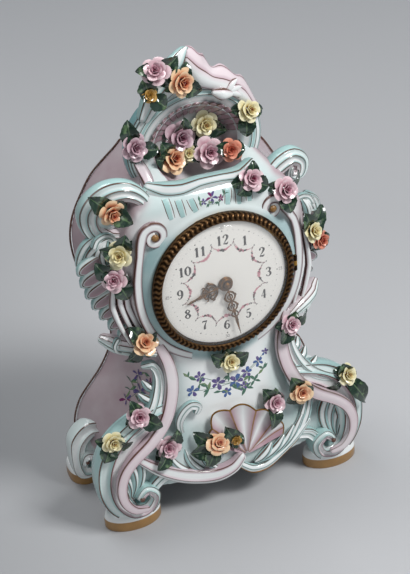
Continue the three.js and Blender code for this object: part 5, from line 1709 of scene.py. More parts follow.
    def niche(self) -> None:
        """Models the rim round the niche and the ribs in its vault."""
        piece, middle, rim = Piece("niche_rim"), up(self.niche_rise), self.niche_rim
        turns = [math.tau * k / 24 for k in range(24)]
        oval = [(self.niche_wide * math.cos(a), 0, middle + self.niche_tall * math.sin(a), rim, rim) for a in turns]
        piece.roll(self.palette.niche, oval, 5, 44, looped=True, square=0.75,
                   ridges=(0.05, 0.42, 0.62, 0.84, 0.97), valley=0.86)
        stretch = self.niche_tall / self.niche_wide
        for degrees in range(10, 174, 11):
            a = math.radians(degrees)
            rib = [(r * math.cos(a), y, middle + r * stretch * math.sin(a), w, 1.0)
                   for r, y, w in ((24, 3.4, 2.0), (29, 1.0, 2.8), (34, -4.2, 3.2), (38, -8.6, 2.9))]
            piece.roll(self.palette.gadroon, rib, 4, 16, square=0.8, ridges=(0.08, 0.92))
        self.fire(piece)

    def ledge(self) -> None:
        """Models the ledge under the niche."""
        piece = Piece("niche_ledge")
        line = [(-47, -22, up(82), 4.5, 6), (-38, -26, up(78), 7.5, 8), (-24, -29, up(77), 7.5, 8),
                (-10, -30, up(80), 5.5, 7), (8, -30, up(80), 5, 7), (24, -27, up(78), 6, 8), (37, -22, up(82), 5, 6)]
        piece.roll(self.palette.roll, line, 8, 30, square=0.8, ridges=(0.06, 0.94), valley=0.8)
        self.fire(piece)

    def crest(self) -> None:
        """Models the plume that crowns the niche."""
        piece, palette = Piece("crest_plume"), self.palette
        plume = [(-40, -6, up(130), 5, 6), (-30, -7, up(146), 9, 7), (-16, -6, up(158), 11, 7), (-7, -4, up(167), 9, 6),
                 (-2, -2, up(175), 4.5, 4)]
        piece.roll(palette.roll, plume, 8, 36, flip=True, square=0.7, ridges=(0.05, 0.5, 0.95), valley=0.75)
        low, high = (spline([Vector((x, y, up(rise))) for x, y, rise in line], 6) for line in (
            ((-8, -6, 162), (0, -9, 148), (12, -10, 143), (26, -9, 136), (38, -7, 126), (47, -4, 112)),
            ((-2, -2, 177), (8, -2, 171), (15, -2, 160), (30, -2, 153), (43, -2, 141), (54, -2, 119))))

        def surface(u: float, v: float) -> Vector:
            """Finds the plume's middle surface, ruffled along its upper edge.

            Args:
                u: the share across.
                v: the share along.

            Returns:
                The place.
            """
            place = unit(v) * (len(low) - 1)
            step = min(int(place), len(low) - 2)
            first = low[step].lerp(low[step + 1], place - step)
            last = high[step].lerp(high[step + 1], place - step)
            share = (u + 1) / 2
            ruffle = 1.5 * share ** 3 * math.sin(26 * v)
            return first.lerp(last, share) + Vector(
                (0, ruffle - 5.0 * math.sin(math.pi * unit(share)), 1.2 * ruffle * share))

        piece.add(Sheet(surface, 15, 34, 4.0, 0.5).build(), palette.plume)
        bow = [(14, -13, up(141), 2.5, 3), (20, -14, up(139), 5, 5), (27, -12, up(137), 3, 3.5)]
        piece.roll(palette.quill, bow, 6, 20)
        for tip in ((34, -10, up(146)), (38, -9, up(139)), (38, -9, up(131))):
            piece.roll(palette.quill, feather((25, -12, up(138)), tip, 0.1, 3.2, 3), 6, 12)
        self.fire(piece)

    def build(self) -> None:
        """Models every moulding."""
        for step in (self.dial_scrolls, self.shoulders, self.wings, self.waist, self.apron, self.niche, self.ledge,
                     self.crest):
            step()


@dataclass
class Decorator(Workshop):
    """Paints sprigs and fine lines on the finished clay, from the front or from the left."""

    piece: Piece = field(default_factory=lambda: Piece("painted_decoration"))
    sideways: bool = False
    brush: float = 0.16
    lift: float = 0.02

    def look(self, across: float, height: float) -> tuple[Vector, Vector] | None:
        """Returns the clay under a place, if there is any."""
        start = Vector((-200, across, height))
        return self.clay.cast(start, RIGHT) if self.sideways else self.clay.front(across, height)

    def line(self, points: Stroke, material: Material, steps: int = 5) -> None:
        """Draws one brush stroke.

        Args:
            points: across, height and half the brush's width.
            material: the paint.
            steps: how finely the stroke follows the clay.
        """
        toward = -RIGHT if self.sideways else FRONT
        stations = []
        for sample in spline([Vector(point) for point in points], steps):
            hit = self.look(sample.x, sample.y)
            if hit is not None:
                stations.append((*(hit[0] - toward * self.lift), max(sample.z, self.brush), self.brush))
        if len(stations) > 2:
            self.piece.roll(material, stations, 1, 6, facing=toward.copy())

    def petals(self, x: float, z: float, size: float, paint: Paint) -> None:
        """Paints a five-petalled flower with a pale eye.

        Args:
            x: its place across.
            z: its height.
            size: its radius.
            paint: the colour of the petals.
        """
        start = random.uniform(0, math.tau)
        for k in range(5):
            turn = start + math.tau * k / 5
            far = size * random.uniform(0.85, 1.1)
            self.line([(x + math.cos(turn) * reach, z + math.sin(turn) * reach, width) for reach, width in (
                (size * 0.12, 0.3), (far * 0.6, size * 0.36), (far, size * 0.22))],
                self.palette.ink[random.choice((paint, paint, Paint.VIOLET))], 3)
        self.line([(x - 0.4, z, 0.3), (x, z, 0.5), (x + 0.4, z, 0.3)], self.palette.ink[Paint.CREAM], 2)

    def leaf(self, x: float, z: float, turn: float, size: float) -> None:
        """Paints one leaf with a single pressed stroke.

        Args:
            x: the place across where it starts.
            z: the height of its start.
            turn: its direction in radians.
            size: its length.
        """
        paint = random.choice((Paint.PAINTED_GREEN, Paint.PAINTED_GREEN, Paint.LEAF_LIGHT))
        self.line([(x + math.cos(turn) * size * share, z + math.sin(turn) * size * share, width)
                   for share, width in ((0, 0.2), (0.5, size * 0.24), (1, 0.16))], self.palette.ink[paint], 3)

    def sprig(self, flowers: Sequence[tuple[float, float, float, Paint]], leaves: Sequence[Point],
              spread: float = 5.8) -> None:
        """Paints a loose bunch.

        Args:
            flowers: place, radius and colour of each flower.
            leaves: the leaves' places.
            spread: the length of a leaf.
        """
        middle = (sum(f[0] for f in flowers) / len(flowers), sum(f[1] for f in flowers) / len(flowers) - 4)
        for x, z, _, _ in flowers:
            self.line([(*middle, 0.2), ((x + middle[0]) / 2, (z + middle[1]) / 2 - 1, 0.25), (x, z, 0.2)],
                      self.palette.ink[Paint.PAINTED_GREEN])
        for x, z in leaves:
            for _ in range(4):
                self.leaf(x, z, random.uniform(0, math.tau), random.uniform(0.8, 1.3) * spread)
        for flower in flowers:
            self.petals(*flower)

    def build(self) -> None:
        """Paints the front, the ledge and the left side wall."""
        blue, violet, purple = Paint.BLUE, Paint.VIOLET, Paint.PURPLE
        self.sprig(((-31, 108, 5.4, blue), (-24, 119, 4.6, violet), (-10, 110, 5.8, violet), (6, 107, 6.8, blue),
                    (16, 112, 5.0, blue), (27, 118, 4.6, blue), (34, 124, 3.2, blue), (-3, 100, 4.4, blue),
                    (12, 101, 4.0, violet)),
                   ((-18, 106), (-8, 102), (6, 100), (18, 108), (-33, 121), (14, 99), (31, 110), (-25, 113), (22, 103),
                    (0, 114)))
        self.sprig(((-3, up(70), 4.4, purple), (-10, up(68), 2.4, violet), (4, up(68), 2.4, purple)),
                   ((-13, up(69)), (7, up(70)), (-6, up(66)), (2, up(65))), 3.2)
        for top, bottom in (((-38, 75), (-36, 60)), ((-29, 73), (-27, 60)), ((-20, 72), (-17, 62)), ((11, 73), (9, 62)),
                            ((19, 73), (18, 60)), ((27, 72), (27, 60))):
            middle = (lerp(top[0], bottom[0], 0.5), up(lerp(top[1], bottom[1], 0.5)))
            stroke = [(top[0], up(top[1]), 2.4), (*middle, 2.4), (bottom[0], up(bottom[1]), 1.9)]
            self.line(stroke, self.palette.ink[Paint.TURQUOISE])
            for shift in (-2.7, 2.7):
                self.line([(top[0] + shift, up(top[1]), 0.25), (middle[0] + shift, middle[1], 0.35),
                           (bottom[0] + shift * 0.9, up(bottom[1] + 1), 0.2)], self.palette.line)
        self.sideways = True
        self.sprig(((-3, 94, 7.0, violet), (-10, 104, 5.0, purple), (4, 106, 5.0, violet), (6, 84, 4.6, purple)),
                   ((6, 92), (-10, 92), (-4, 86), (-2, 110), (8, 98), (-14, 100)))
        self.piece.finish(60.0)


# Pen strokes of each digit in a box one high: across, up and half the pen's width
DIGITS = {
    "0": (((0.28, 1.0, 0.03), (0.5, 0.75, 0.07), (0.52, 0.5, 0.085), (0.5, 0.25, 0.07), (0.28, 0.0, 0.03),
           (0.06, 0.25, 0.07), (0.04, 0.5, 0.085), (0.06, 0.75, 0.07), (0.28, 1.0, 0.03)),),
    "1": (((0.26, 0.02, 0.085), (0.26, 0.5, 0.085), (0.26, 1.0, 0.085)), ((0.24, 0.98, 0.035), (0.06, 0.8, 0.02)),
          ((0.1, 0.01, 0.025), (0.42, 0.01, 0.025))),
    "2": (((0.1, 0.74, 0.075), (0.07, 0.86, 0.05), (0.27, 1.0, 0.03), (0.49, 0.82, 0.085), (0.42, 0.56, 0.07),
           (0.2, 0.28, 0.03), (0.04, 0.04, 0.02), (0.2, 0.07, 0.06), (0.42, 0.03, 0.06), (0.53, 0.2, 0.02)),),
    "3": (((0.07, 0.82, 0.06), (0.12, 0.95, 0.03), (0.28, 1.0, 0.03), (0.45, 0.8, 0.08), (0.36, 0.59, 0.04),
           (0.2, 0.54, 0.02)),
          ((0.2, 0.54, 0.02), (0.4, 0.48, 0.05), (0.5, 0.25, 0.085), (0.3, 0.0, 0.03), (0.08, 0.08, 0.03),
           (0.06, 0.2, 0.06))),
    "4": (((0.36, 1.0, 0.03), (0.2, 0.62, 0.02), (0.03, 0.3, 0.02)), ((0.03, 0.3, 0.025), (0.54, 0.3, 0.025)),
          ((0.38, 1.0, 0.075), (0.38, 0.0, 0.075))),
    "5": (((0.12, 0.96, 0.04), (0.3, 0.95, 0.055), (0.48, 1.0, 0.02)), ((0.13, 0.97, 0.022), (0.11, 0.55, 0.022)),
          ((0.11, 0.54, 0.022), (0.28, 0.62, 0.03), (0.48, 0.4, 0.08), (0.42, 0.12, 0.07), (0.24, 0.0, 0.03),
           (0.07, 0.1, 0.04), (0.08, 0.2, 0.055))),
    "6": (((0.46, 0.86, 0.05), (0.38, 0.98, 0.03), (0.2, 0.92, 0.05), (0.06, 0.6, 0.085), (0.06, 0.25, 0.08),
           (0.27, 0.0, 0.03), (0.49, 0.25, 0.075), (0.44, 0.5, 0.05), (0.27, 0.59, 0.025), (0.1, 0.46, 0.02)),),
    "7": (((0.05, 0.8, 0.02), (0.08, 0.95, 0.05), (0.3, 0.93, 0.055), (0.5, 0.98, 0.03)),
          ((0.5, 0.97, 0.022), (0.3, 0.55, 0.05), (0.24, 0.2, 0.085), (0.25, 0.01, 0.08))),
    "8": (((0.28, 0.56, 0.05), (0.08, 0.78, 0.07), (0.28, 1.0, 0.03), (0.48, 0.78, 0.05), (0.28, 0.56, 0.05)),
          ((0.28, 0.56, 0.05), (0.52, 0.26, 0.08), (0.28, 0.0, 0.03), (0.04, 0.26, 0.06), (0.28, 0.56, 0.05))),
    "9": (((0.08, 0.14, 0.05), (0.16, 0.02, 0.03), (0.34, 0.08, 0.05), (0.48, 0.4, 0.085), (0.48, 0.75, 0.08),
           (0.27, 1.0, 0.03), (0.05, 0.75, 0.075), (0.1, 0.5, 0.05), (0.27, 0.41, 0.025), (0.44, 0.54, 0.02)),),
}


@dataclass
class DialFace(Workshop):
    """White enamel with black numerals, dotted minutes and a painted swag inside each hour."""

    radius: float = 51.5
    bore: float = 4.0
    rim_y: float = -46.6
    bend: Point = (30.9, -47.26)
    middle_y: float = -47.5
    numeral_radius: float = 37.0
    numeral_height: float = 7.7
    minute_radius: float = 47.4
    minute_height: float = 2.6
    digit_width: float = 0.55
    swag_radius: float = 32.0
    swag_marks: int = 13
    dot_radius: float = 44.5
    piece: Piece = field(default_factory=lambda: Piece("painted_enamel_dial", ROOT, "enamel", ("enamel_dial",)))

    def surface(self, radius: float) -> float:
        """Finds the enamel's front.

        Args:
            radius: the distance from the dial's centre.

        Returns:
            Its y.
        """
        if radius > self.bend[0]:
            return lerp(self.bend[1], self.rim_y, (radius - self.bend[0]) / (self.radius - self.bend[0]))
        return lerp(self.middle_y, self.bend[1], max(radius - self.bore, 0) / (self.bend[0] - self.bore))

    def stroke(self, points: Stroke, paint: Paint, steps: int = 4) -> None:
        """Draws one flat pen stroke, given across and up from the dial's centre with half the pen's width."""
        stations = [(x, self.surface(math.hypot(x, z)) - 0.02, up(z), width, 0.05) for x, z, width in points]
        self.piece.roll(self.palette.ink[paint], stations, steps, 6)

    def text(self, digits: str, centre: Point, height: float, weight: float, paint: Paint) -> None:
        """Writes upright digits about a centre.

        Args:
            digits: the digits.
            centre: across and up from the dial's centre.
            height: the height of a digit.
            weight: the boldness of the pen.
            paint: the ink.
        """
        advance = self.digit_width * 1.2 * height
        left = centre[0] - (advance * (len(digits) - 1) + self.digit_width * height) / 2
        for number, digit in enumerate(digits):
            for line in DIGITS[digit]:
                self.stroke([(left + number * advance + x * height, centre[1] + (z - 0.5) * height,
                              max(w * height * weight, 0.1)) for x, z, w in line], paint)

    def polar(self, degrees: float, radius: float) -> Point:
        """Returns across and up for an angle clockwise from twelve."""
        turn = math.radians(degrees)
        return (radius * math.sin(turn), radius * math.cos(turn))

    def swag(self, degrees: float) -> None:
        """Paints the garland inside one hour.

        Args:
            degrees: the hour's angle.
        """
        for k in range(self.swag_marks):
            share = k / (self.swag_marks - 1) * 2 - 1
            x, z = self.polar(degrees + 12.0 * share, self.swag_radius - 3.4 * (1 - share ** 2))
            lean = math.radians(random.uniform(20, 70)) * random.choice((-1, 1))
            size = lerp(1.7, 0.85, abs(share)) * random.uniform(0.8, 1.15)
            dx, dz = size * math.cos(lean), size * math.sin(lean)
            paint = random.choice((Paint.GARLAND_PINK, Paint.GARLAND_DARK, Paint.GARLAND_PINK, Paint.INK))
            self.stroke([(x - dx, z - dz, 0.1), (x, z, 0.62 * size), (x + dx, z + dz, 0.1)], paint, 2)
        for side in (-1, 1):
            near = self.polar(degrees + side * 13.5, self.swag_radius + 0.6)
            far = self.polar(degrees + side * 15.0, self.swag_radius + 3.4)
            self.stroke([(*near, 0.16), (*far, 0.3)], Paint.GARLAND_DARK, 2)
        x, z = self.polar(degrees + 15, self.swag_radius + 4.6)
        self.stroke([(x - 0.3, z - 0.5, 0.25), (x + 0.3, z + 0.5, 0.5)], Paint.INK, 2)

    def build(self) -> None:
        """Makes the painted dial."""
        profile = [(self.bore, DIAL_BACK), (self.radius, DIAL_BACK), (self.radius, self.rim_y + 0.3),
                   (self.radius - 0.3, self.rim_y), self.bend, (self.bore, self.middle_y)]
        self.piece.add(turned(profile, segments=128), self.palette.enamel)
        for hour in range(1, 13):
            self.text(str(hour), self.polar(hour * 30, self.numeral_radius), self.numeral_height, 1.45, Paint.INK)
            self.swag(hour * 30)
        for minute in range(60):
            size, paint = (0.62, Paint.INK) if minute % 5 == 0 else (0.38, Paint.GREY_INK)
            x, z = self.polar(minute * 6, self.dot_radius)
            self.piece.add(bead((x, self.surface(self.dot_radius), up(z)), size, 0.2, 1), self.palette.ink[paint])
        for minute in (15, 30, 45, 60):
            place = self.polar(minute * 6, self.minute_radius)
            self.text(str(minute), place, self.minute_height, 0.7, Paint.GREY_INK)
        self.piece.finish(30.0)


# Radius and y across the bezel's crown, and from its sight edge round to its back
CROWN = ((58.9, -47.2), (58.5, -48.6), (57.8, -49.7), (56.9, -50.45), (55.8, -50.85), (54.7, -50.8), (53.8, -50.4))
GLASS_RIM = ((51.8, -48.45), (54.3, -48.3), (54.3, -47.2), (50.7, -47.2))


@dataclass
class Bezel(Workshop):
    """A chased gilt ring on a hinge, with its domed glass."""

    outer: float = Case.bezel_radius
    sight: float = 52.6
    rebate: float = 54.6
    base_y: float = -43.8
    front_y: float = -51.6
    ribs: int = 84
    relief: float = 0.5
    pin: Point = (61.2, -44.2)
    knuckle_radius: float = 1.9
    knuckle_ends: tuple[Point, Point] = ((-6.3, -2.3), (2.3, 6.3))
    dome_radius: float = 49.5
    dome_front: float = -56.5
    dome_rise: float = 4.7

    def section(self, turn: float) -> list[tuple[float, float, float]]:
        """Draws the ring's outline with its slanting ribs.

        Args:
            turn: the angle round the ring in radians.

        Returns:
            The radius, y and rib value of each point, which paints light and shade on the chasing.
        """
        outline = [(self.outer, self.base_y, 0.4), (self.outer, -46.6, 0.75)]
        for k, (radius, y) in enumerate(CROWN):
            share = k / (len(CROWN) - 1)
            wave = math.cos(self.ribs * turn + 3.2 * (share - 0.5) + 1.4 * math.sin(math.tau * share))
            lift = self.relief * math.sin(math.pi * lerp(0.12, 0.88, share)) * (wave - 0.6)
            away = Vector((radius - 55.4, y + 47.0)).normalized()
            # Each point's third value paints light and shade along the rib's relief
            outline.append((radius + away.x * lift, max(y + away.y * lift, self.front_y), 0.5 + 0.5 * wave))
        return [*outline, (53.2, -50.0, 0.9), (self.sight, -49.6, 0.7), (self.sight, -48.6, 0.1),
                (self.rebate, -48.6, 0.1), (self.rebate, self.base_y, 0.1)]

    def ring(self) -> Mesh:
        """Draws the ring and marks the painted light and shade of its ribs.

        Returns:
            The closed mesh.
        """
        steps = self.ribs * 8
        turns = [math.tau * step / steps for step in range(steps)]
        outlines = [self.section(turn) for turn in turns]
        rings = [[Vector((r * math.cos(turn), y, up(r * math.sin(turn)))) for r, y, _ in outline]
                 for turn, outline in zip(turns, outlines)]
        part = loft(rings, looped=True)
        share = part.verts.layers.float["across"]
        for vert in part.verts:
            turn = math.atan2(vert.co.z - DIAL_HEIGHT, vert.co.x) % math.tau
            step = round(turn / math.tau * steps) % steps
            near = min(range(len(rings[step])), key=lambda k: (rings[step][k] - vert.co).length)
            vert[share] = outlines[step][near][2]
        return part

    def build(self) -> None:
        """Makes the ring and the glass."""
        ring = Piece("chased_bezel", "bezel", "gilt", ("bezel_ring",))
        ring.add(self.ring(), self.palette.bezel)
        for ends in self.knuckle_ends:
            for part in knuckle(self.pin, self.knuckle_radius, ends, (self.pin[0] - 3.7, self.pin[0]),
                                (self.base_y - 2.4, self.base_y)):
                ring.add(part, self.palette.bezel)
        ring.finish(50.0)
        glass = Piece("domed_glass", "bezel", "glass", ("bezel_glass",))
        dome = [(self.dome_radius * k / 12, self.dome_front + self.dome_rise * (k / 12) ** 2.2) for k in range(13)]
        inner = [(r * 0.985, y + 1.15) for r, y in reversed(dome)]
        glass.add(turned([*dome, *GLASS_RIM, *inner]), self.palette.glass)
        glass.finish(50.0)


@dataclass(frozen=True)
class Hand:
    """One hand: what it is called, its body, node, angle and y, its bars and the profile of its boss.

    The leaves are bars on both sides, the stem's bars lie along the middle. Each is across, along and half a width.
    """

    name: str
    body: str
    node: str
    degrees: float
    y: float
    leaves: tuple[Stroke, ...]
    stem: tuple[Stroke, ...]
    boss: tuple[Point, ...]


HANDS = (
    Hand("pierced_hour_hand", "hour_work", "hour_hand", 254.0, -48.55, (
        ((0.5, 7.6, 0.7), (3.2, 8.4, 0.9), (6.0, 10.6, 0.9), (6.7, 13.4, 0.9), (5.0, 15.2, 0.8), (3.6, 14.0, 0.6)),
        ((0.5, 9.2, 0.6), (2.6, 10.4, 0.8), (3.7, 12.4, 0.8), (2.6, 14.0, 0.6), (1.7, 13.0, 0.5)),
        ((0.6, 14.0, 0.6), (2.2, 15.6, 0.8), (4.3, 17.2, 0.9), (3.2, 19.0, 0.7), (0.7, 19.6, 0.7)),
        ((5.6, 11.8, 0.5), (8.0, 12.2, 0.6), (8.3, 14.0, 0.3)),
        ((4.2, 16.4, 0.4), (6.4, 17.4, 0.5), (6.2, 18.8, 0.3)),
        ((0.5, 16.8, 0.5), (1.9, 17.6, 0.6), (1.4, 19.0, 0.4))), (
        ((0, 4.5, 1.3), (0, 7, 1.0), (0, 9, 1.3), (0, 12, 0.7), (0, 16, 1.2), (0, 20, 0.9)),
        ((0, 19, 1.3), (0, 22, 1.7), (0, 26, 0.9), (0, 30, 1.2), (0, 34, 0.2))),
        ((3.4, -48.2), (6.0, -48.2), (6.0, -49.0), (5.6, -49.5), (4.6, -49.6), (3.4, -49.5))),
    Hand("pierced_minute_hand", "hand_setting", "minute_hand", 168.0, -50.25, (
        ((0.6, 6.5, 0.6), (2.8, 8.4, 0.8), (4.2, 11.4, 0.8), (3.2, 14.2, 0.7), (0.7, 16.2, 0.6)),
        ((0.5, 9.2, 0.5), (1.8, 10.8, 0.6), (1.7, 12.8, 0.5), (0.6, 13.6, 0.4)),
        ((0.6, 16.0, 0.5), (2.6, 17.8, 0.7), (3.7, 20.6, 0.8), (2.8, 23.2, 0.7), (0.6, 25.0, 0.5)),
        ((0.5, 18.8, 0.5), (1.6, 20.2, 0.6), (1.4, 22.0, 0.4)),
        ((0.5, 25.0, 0.4), (2.0, 26.4, 0.6), (2.6, 28.6, 0.6), (1.4, 30.2, 0.5), (0.4, 31.0, 0.4)),
        ((3.4, 9.8, 0.4), (5.0, 10.6, 0.4), (5.1, 12.0, 0.25)),
        ((3.2, 19.2, 0.4), (4.6, 20.0, 0.4), (4.6, 21.4, 0.25))), (
        ((0, 4, 1.0), (0, 8, 0.7), (0, 12, 0.6), (0, 16, 1.1), (0, 20, 0.5), (0, 25, 1.0), (0, 31, 0.8)),
        ((0, 30, 0.9), (0, 34, 1.2), (0, 40, 0.7), (0, 47, 0.18))),
        ((0.95, -49.9), (5.2, -49.9), (5.2, -50.5), (4.7, -51.1), (3.9, -51.15), (3.4, -50.8), (0.95, -50.8))),
)


@dataclass
class Hands(Workshop):
    """Pierced gilt hands and the nut that holds them."""

    thickness: float = 0.36
    stem_lift: float = 0.12
    nut: tuple[Point, ...] = ((0, -53.4), (1.0, -53.3), (1.9, -52.9), (2.5, -52.3), (2.8, -51.6), (2.8, -50.95),
                              (0, -50.95))

    def bar(self, piece: Piece, hand: Hand, line: Stroke, flip: int, lift: float = 0.0) -> None:
        """Adds one bar of a hand.

        Args:
            piece: the hand's piece.
            hand: the hand.
            line: the bar.
            flip: -1 for the other side of the hand.
            lift: how far the bar stands out.
        """
        turn = math.radians(hand.degrees)
        stations = []
        for across, along, width in line:
            x = along * math.sin(turn) + flip * across * math.cos(turn)
            z = along * math.cos(turn) - flip * across * math.sin(turn)
            stations.append((x, hand.y - lift, up(z), width, self.thickness))
        piece.roll(self.palette.hand, stations, 5, 10)

    def build(self) -> None:
        """Makes the two hands and the nut."""
        for hand in HANDS:
            piece = Piece(hand.name, hand.body, "bronze", (hand.node,))
            for line in hand.leaves:
                for flip in (-1, 1):
                    self.bar(piece, hand, line, flip)
            for line in hand.stem:
                self.bar(piece, hand, line, 1, self.stem_lift)
            piece.add(turned(hand.boss, segments=48), self.palette.hand)
            piece.finish(50.0)
        nut = Piece("domed_hand_nut", "hand_setting", "bronze", ("hand_nut",))
        nut.add(turned(self.nut, segments=40), self.palette.hand)
        nut.finish(50.0)


@dataclass
class RearFittings(Workshop):
    """The ring, door and pull at the back of the case."""

    ring_front: float = 37.3
    ring_back: float = 38.6
    flange: float = 49.0
    bore: float = 35.0
    collar: float = 43.4
    collar_wall: float = 1.2
    collar_depth: float = 7.0
    door_radius: float = 37.5
    door_front: float = 38.9
    door_back: float = 40.1
    hinge_reach: float = 2.7
    knuckle_radius: float = Bezel.knuckle_radius
    knuckle_ends: tuple[Point, Point] = Bezel.knuckle_ends
    pull_inset: float = 6.0

    def fitting(self, piece: Piece, profile: Sequence[Point], **shape: float) -> None:
        """Adds a turned brass part to a piece."""
        piece.add(turned(profile, **shape), self.palette.brass)

    def hinge(self, piece: Piece, ends: Point, lug_x: Point, lug_y: Point) -> None:
        """Adds a knuckle on the door's pin to a piece.

        Args:
            piece: the ring or the door.
            ends: the knuckle's lower and upper end.
            lug_x: its lug's two ends across.
            lug_y: its lug's front and back.
        """
        pin = (self.door_radius + self.hinge_reach, self.door_back + 0.5)
        for part in knuckle(pin, self.knuckle_radius, ends, lug_x, lug_y):
            piece.add(part, self.palette.brass)

    def build(self) -> None:
        """Makes the ring, the door and the pull."""
        reach, front, back = self.door_radius, self.ring_front, self.ring_back
        pin_x = reach + self.hinge_reach
        ring = Piece("turned_rear_ring", ROOT, "brass", ("rear_ring",))
        inside, deep = self.collar - self.collar_wall, front - self.collar_depth
        self.fitting(ring, [
            (self.bore, front), (inside, front), (inside, deep), (self.collar, deep), (self.collar, front),
            (self.flange - 0.4, front), (self.flange, front + 0.4), (self.flange, back - 0.4),
            (self.flange - 0.4, back), (self.bore + 0.3, back), (self.bore, back - 0.3)], segments=128)
        self.hinge(ring, (-2, 2), (pin_x, pin_x + 3), (back - 0.5, self.door_back + 0.5))
        ring.finish(35.0)
        door = Piece("turned_rear_door", "rear_door", "brass", ("rear_door",))
        front, back = self.door_front, self.door_back
        self.fitting(door, [
            (0, front), (reach - 0.2, front), (reach, front + 0.2), (reach, back - 0.3), (reach - 0.3, back),
            (reach - 3.2, back), (reach - 3.5, back - 0.25), (reach - 4.4, back - 0.25), (reach - 4.7, back),
            (0, back)], segments=128)
        for ends in self.knuckle_ends:
            self.hinge(door, ends, (reach - 2, pin_x), (front, back))
        door.finish(35.0)
        pull = Piece("turned_door_pull", "rear_door", "brass", ("door_knob",))
        back += 0.3
        self.fitting(pull, [
            (0, back), (1.8, back), (1.6, back + 1.0), (1.9, back + 1.6), (2.9, back + 2.2), (3.1, back + 2.9),
            (2.8, back + 3.8), (1.8, back + 4.4), (0, back + 4.5)], x=self.pull_inset - reach, segments=40)
        pull.finish(50.0)


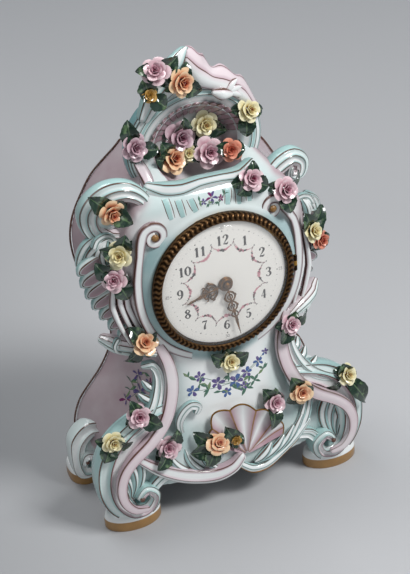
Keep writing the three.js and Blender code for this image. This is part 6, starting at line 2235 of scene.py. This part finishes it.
@dataclass
class Studio:
    """The camera at the photograph's angle, soft lamps and a plain pale floor."""

    azimuth: float = -22.6
    elevation: float = 29.5
    roll: float = 3.3
    focal_pixels: float = 1400.0
    pixels_per_mm: float = 1.31
    target: tuple[float, float, float] = (0.0, -48.0, 200.0)
    target_pixel: Point = (225.3, 283.6)
    picture: tuple[int, int] = (410, 574)
    sensor: float = 36.0
    world_level: float = 0.33
    floor_flat: float = 3.8
    floor_curve: float = 1.0
    wall_top: float = 2.2
    lamps: tuple[tuple[str, tuple[float, float, float], float, float], ...] = (
        ("key_lamp", (0.7, -0.9, 1.5), 0.5, 25.0), ("fill_lamp", (-1.3, -1.0, 0.9), 0.9, 4.0),
        ("top_lamp", (-0.3, 0.4, 1.6), 0.7, 9.0))

    def camera(self) -> None:
        """Sets the camera so that the target lands on its pixel."""
        turn, tilt = math.radians(self.azimuth), math.radians(self.elevation)
        back = Vector((math.sin(turn) * math.cos(tilt), -math.cos(turn) * math.cos(tilt), math.sin(tilt)))
        across = UPWARD.cross(back).normalized()
        rolled = Matrix.Rotation(math.radians(self.roll), 3, "Z") @ Matrix((across, back.cross(across), back))
        width, height = self.picture
        dx, dy = self.target_pixel[0] - width / 2, self.target_pixel[1] - height / 2
        wanted = Vector((dx / self.focal_pixels, -dy / self.focal_pixels, -1.0)).normalized()
        aim = (-UPWARD).rotation_difference(wanted).to_matrix()
        place = Vector(self.target) + back * (self.focal_pixels / self.pixels_per_mm)
        data = bpy.data.cameras.new("camera")
        data.sensor_fit, data.sensor_width, data.clip_end = "AUTO", self.sensor, 20.0
        data.lens = self.focal_pixels * self.sensor / max(self.picture)
        made = shown("camera", data)
        made.matrix_world = Matrix.Translation(TO_FRAME @ place) @ (aim @ rolled).transposed().to_4x4()
        bpy.context.scene.camera = made

    def lamp(self, name: str, place: Sequence[float], size: float, watts: float) -> None:
        """Hangs one soft square lamp that faces the clock.

        Args:
            name: the lamp's name.
            place: where it hangs, in metres.
            size: its side in metres.
            watts: its power.
        """
        data = bpy.data.lights.new(name, "AREA")
        data.size, data.energy = size, watts
        aim = (Vector((0, 0, 0.18)) - Vector(place)).to_track_quat("-Z", "Y")
        shown(name, data).matrix_world = Matrix.Translation(place) @ aim.to_matrix().to_4x4()

    def paper(self) -> Material:
        """Mixes the floor's grey, with painted shade that darkens it to the left and painted light that lightens it
        away from the clock.

        Returns:
            The material.
        """
        made = Shader("studio_paper", Roughness=0.75)
        across = made.node("SeparateXYZ", {"Vector": made.place()}).outputs["X"]
        away = made.node("VectorMath", {0: made.place()}, operation="LENGTH").outputs["Value"]
        near = made.mix(made.level(made.noise(1.3), 0.3, 0.7, 0.0, 0.25), linear("BABBBD"), linear("B0B1B4"))
        # Painted light: the grey turns paler away from the clock
        paper = made.mix(made.level(away, 0.5, 1.7), near, linear("D9DADC"))
        # Painted shade: the grey turns darker to the left of the clock
        made.colour(made.mix(made.level(across, 0.05, -0.45), paper, linear("7E8082")))
        return made.material

    def floor(self) -> None:
        """Lays a wide round floor that curves up all round into the backdrop."""
        part = bmesh.new()
        flat, curve = self.floor_flat, self.floor_curve
        arc = [math.radians(15 * k) for k in range(7)]
        places = [(0.0, 0.0), *((flat + curve * math.sin(a), curve * (1 - math.cos(a))) for a in arc),
                  (flat + curve, self.wall_top)]
        line = [part.verts.new((reach, 0, height)) for reach, height in places]
        edges = [part.edges.new(pair) for pair in zip(line, line[1:])]
        bmesh.ops.spin(part, geom=[*line, *edges], cent=(0, 0, 0), axis=(0, 0, 1), dvec=(0, 0, 0),
                       angle=math.tau, steps=96, use_merge=True, use_duplicate=False)
        bmesh.ops.remove_doubles(part, verts=part.verts[:], dist=1e-5)
        bmesh.ops.recalc_face_normals(part, faces=part.faces[:])
        part.faces.ensure_lookup_table()
        if part.faces[0].normal.z < 0:
            bmesh.ops.reverse_faces(part, faces=part.faces[:])
        for face in part.faces:
            face.smooth = True
        floor = settled("floor", part)
        floor.data.materials.append(self.paper())

    def world(self) -> None:
        """Gives a dim even light from all round."""
        sky = bpy.data.worlds.new("studio_air")
        sky.use_nodes = True
        ground = sky.node_tree.nodes["Background"]
        ground.inputs["Color"].default_value = linear("DDE3EA")
        ground.inputs["Strength"].default_value = self.world_level
        bpy.context.scene.world = sky

    def build(self) -> None:
        """Sets up the whole studio."""
        self.camera()
        self.floor()
        self.world()
        for lamp in self.lamps:
            self.lamp(*lamp)
        bpy.context.scene.view_settings.view_transform = "Standard"


def dress_frame(palette: Palette) -> None:
    """Gives every node of the frame that stays in view its finish.

    Args:
        palette: the finishes.
    """
    finishes = {"brass": palette.brass, "steel": palette.steel, "bronze": palette.hand, "gilt": palette.bezel,
                "glass": palette.glass, "enamel": palette.enamel, "porcelain": palette.body, "flowers": palette.leaf}
    for entry in frame["record"]["subparts"]:
        node = frame["nodes"][entry["node"]]
        node.data.materials.clear()
        finish = palette.spring if entry["node"] == "hairspring" else finishes[entry["material_slot"]]
        node.data.materials.append(finish)


def main() -> None:
    """Builds the clock in order."""
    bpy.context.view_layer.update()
    random.seed(7)
    palette, clay = Palette(), Clay()
    Studio().build()
    dress_frame(palette)
    case = Case(palette, clay)
    case.build()
    for assembly in (Feet, Mouldings, Flowers, Decorator):
        assembly(palette, clay).build()
    case.edge_lines()
    for assembly in (DialFace, Bezel, Hands, RearFittings):
        assembly(palette, clay).build()


if __name__ == "__main__":
    main()
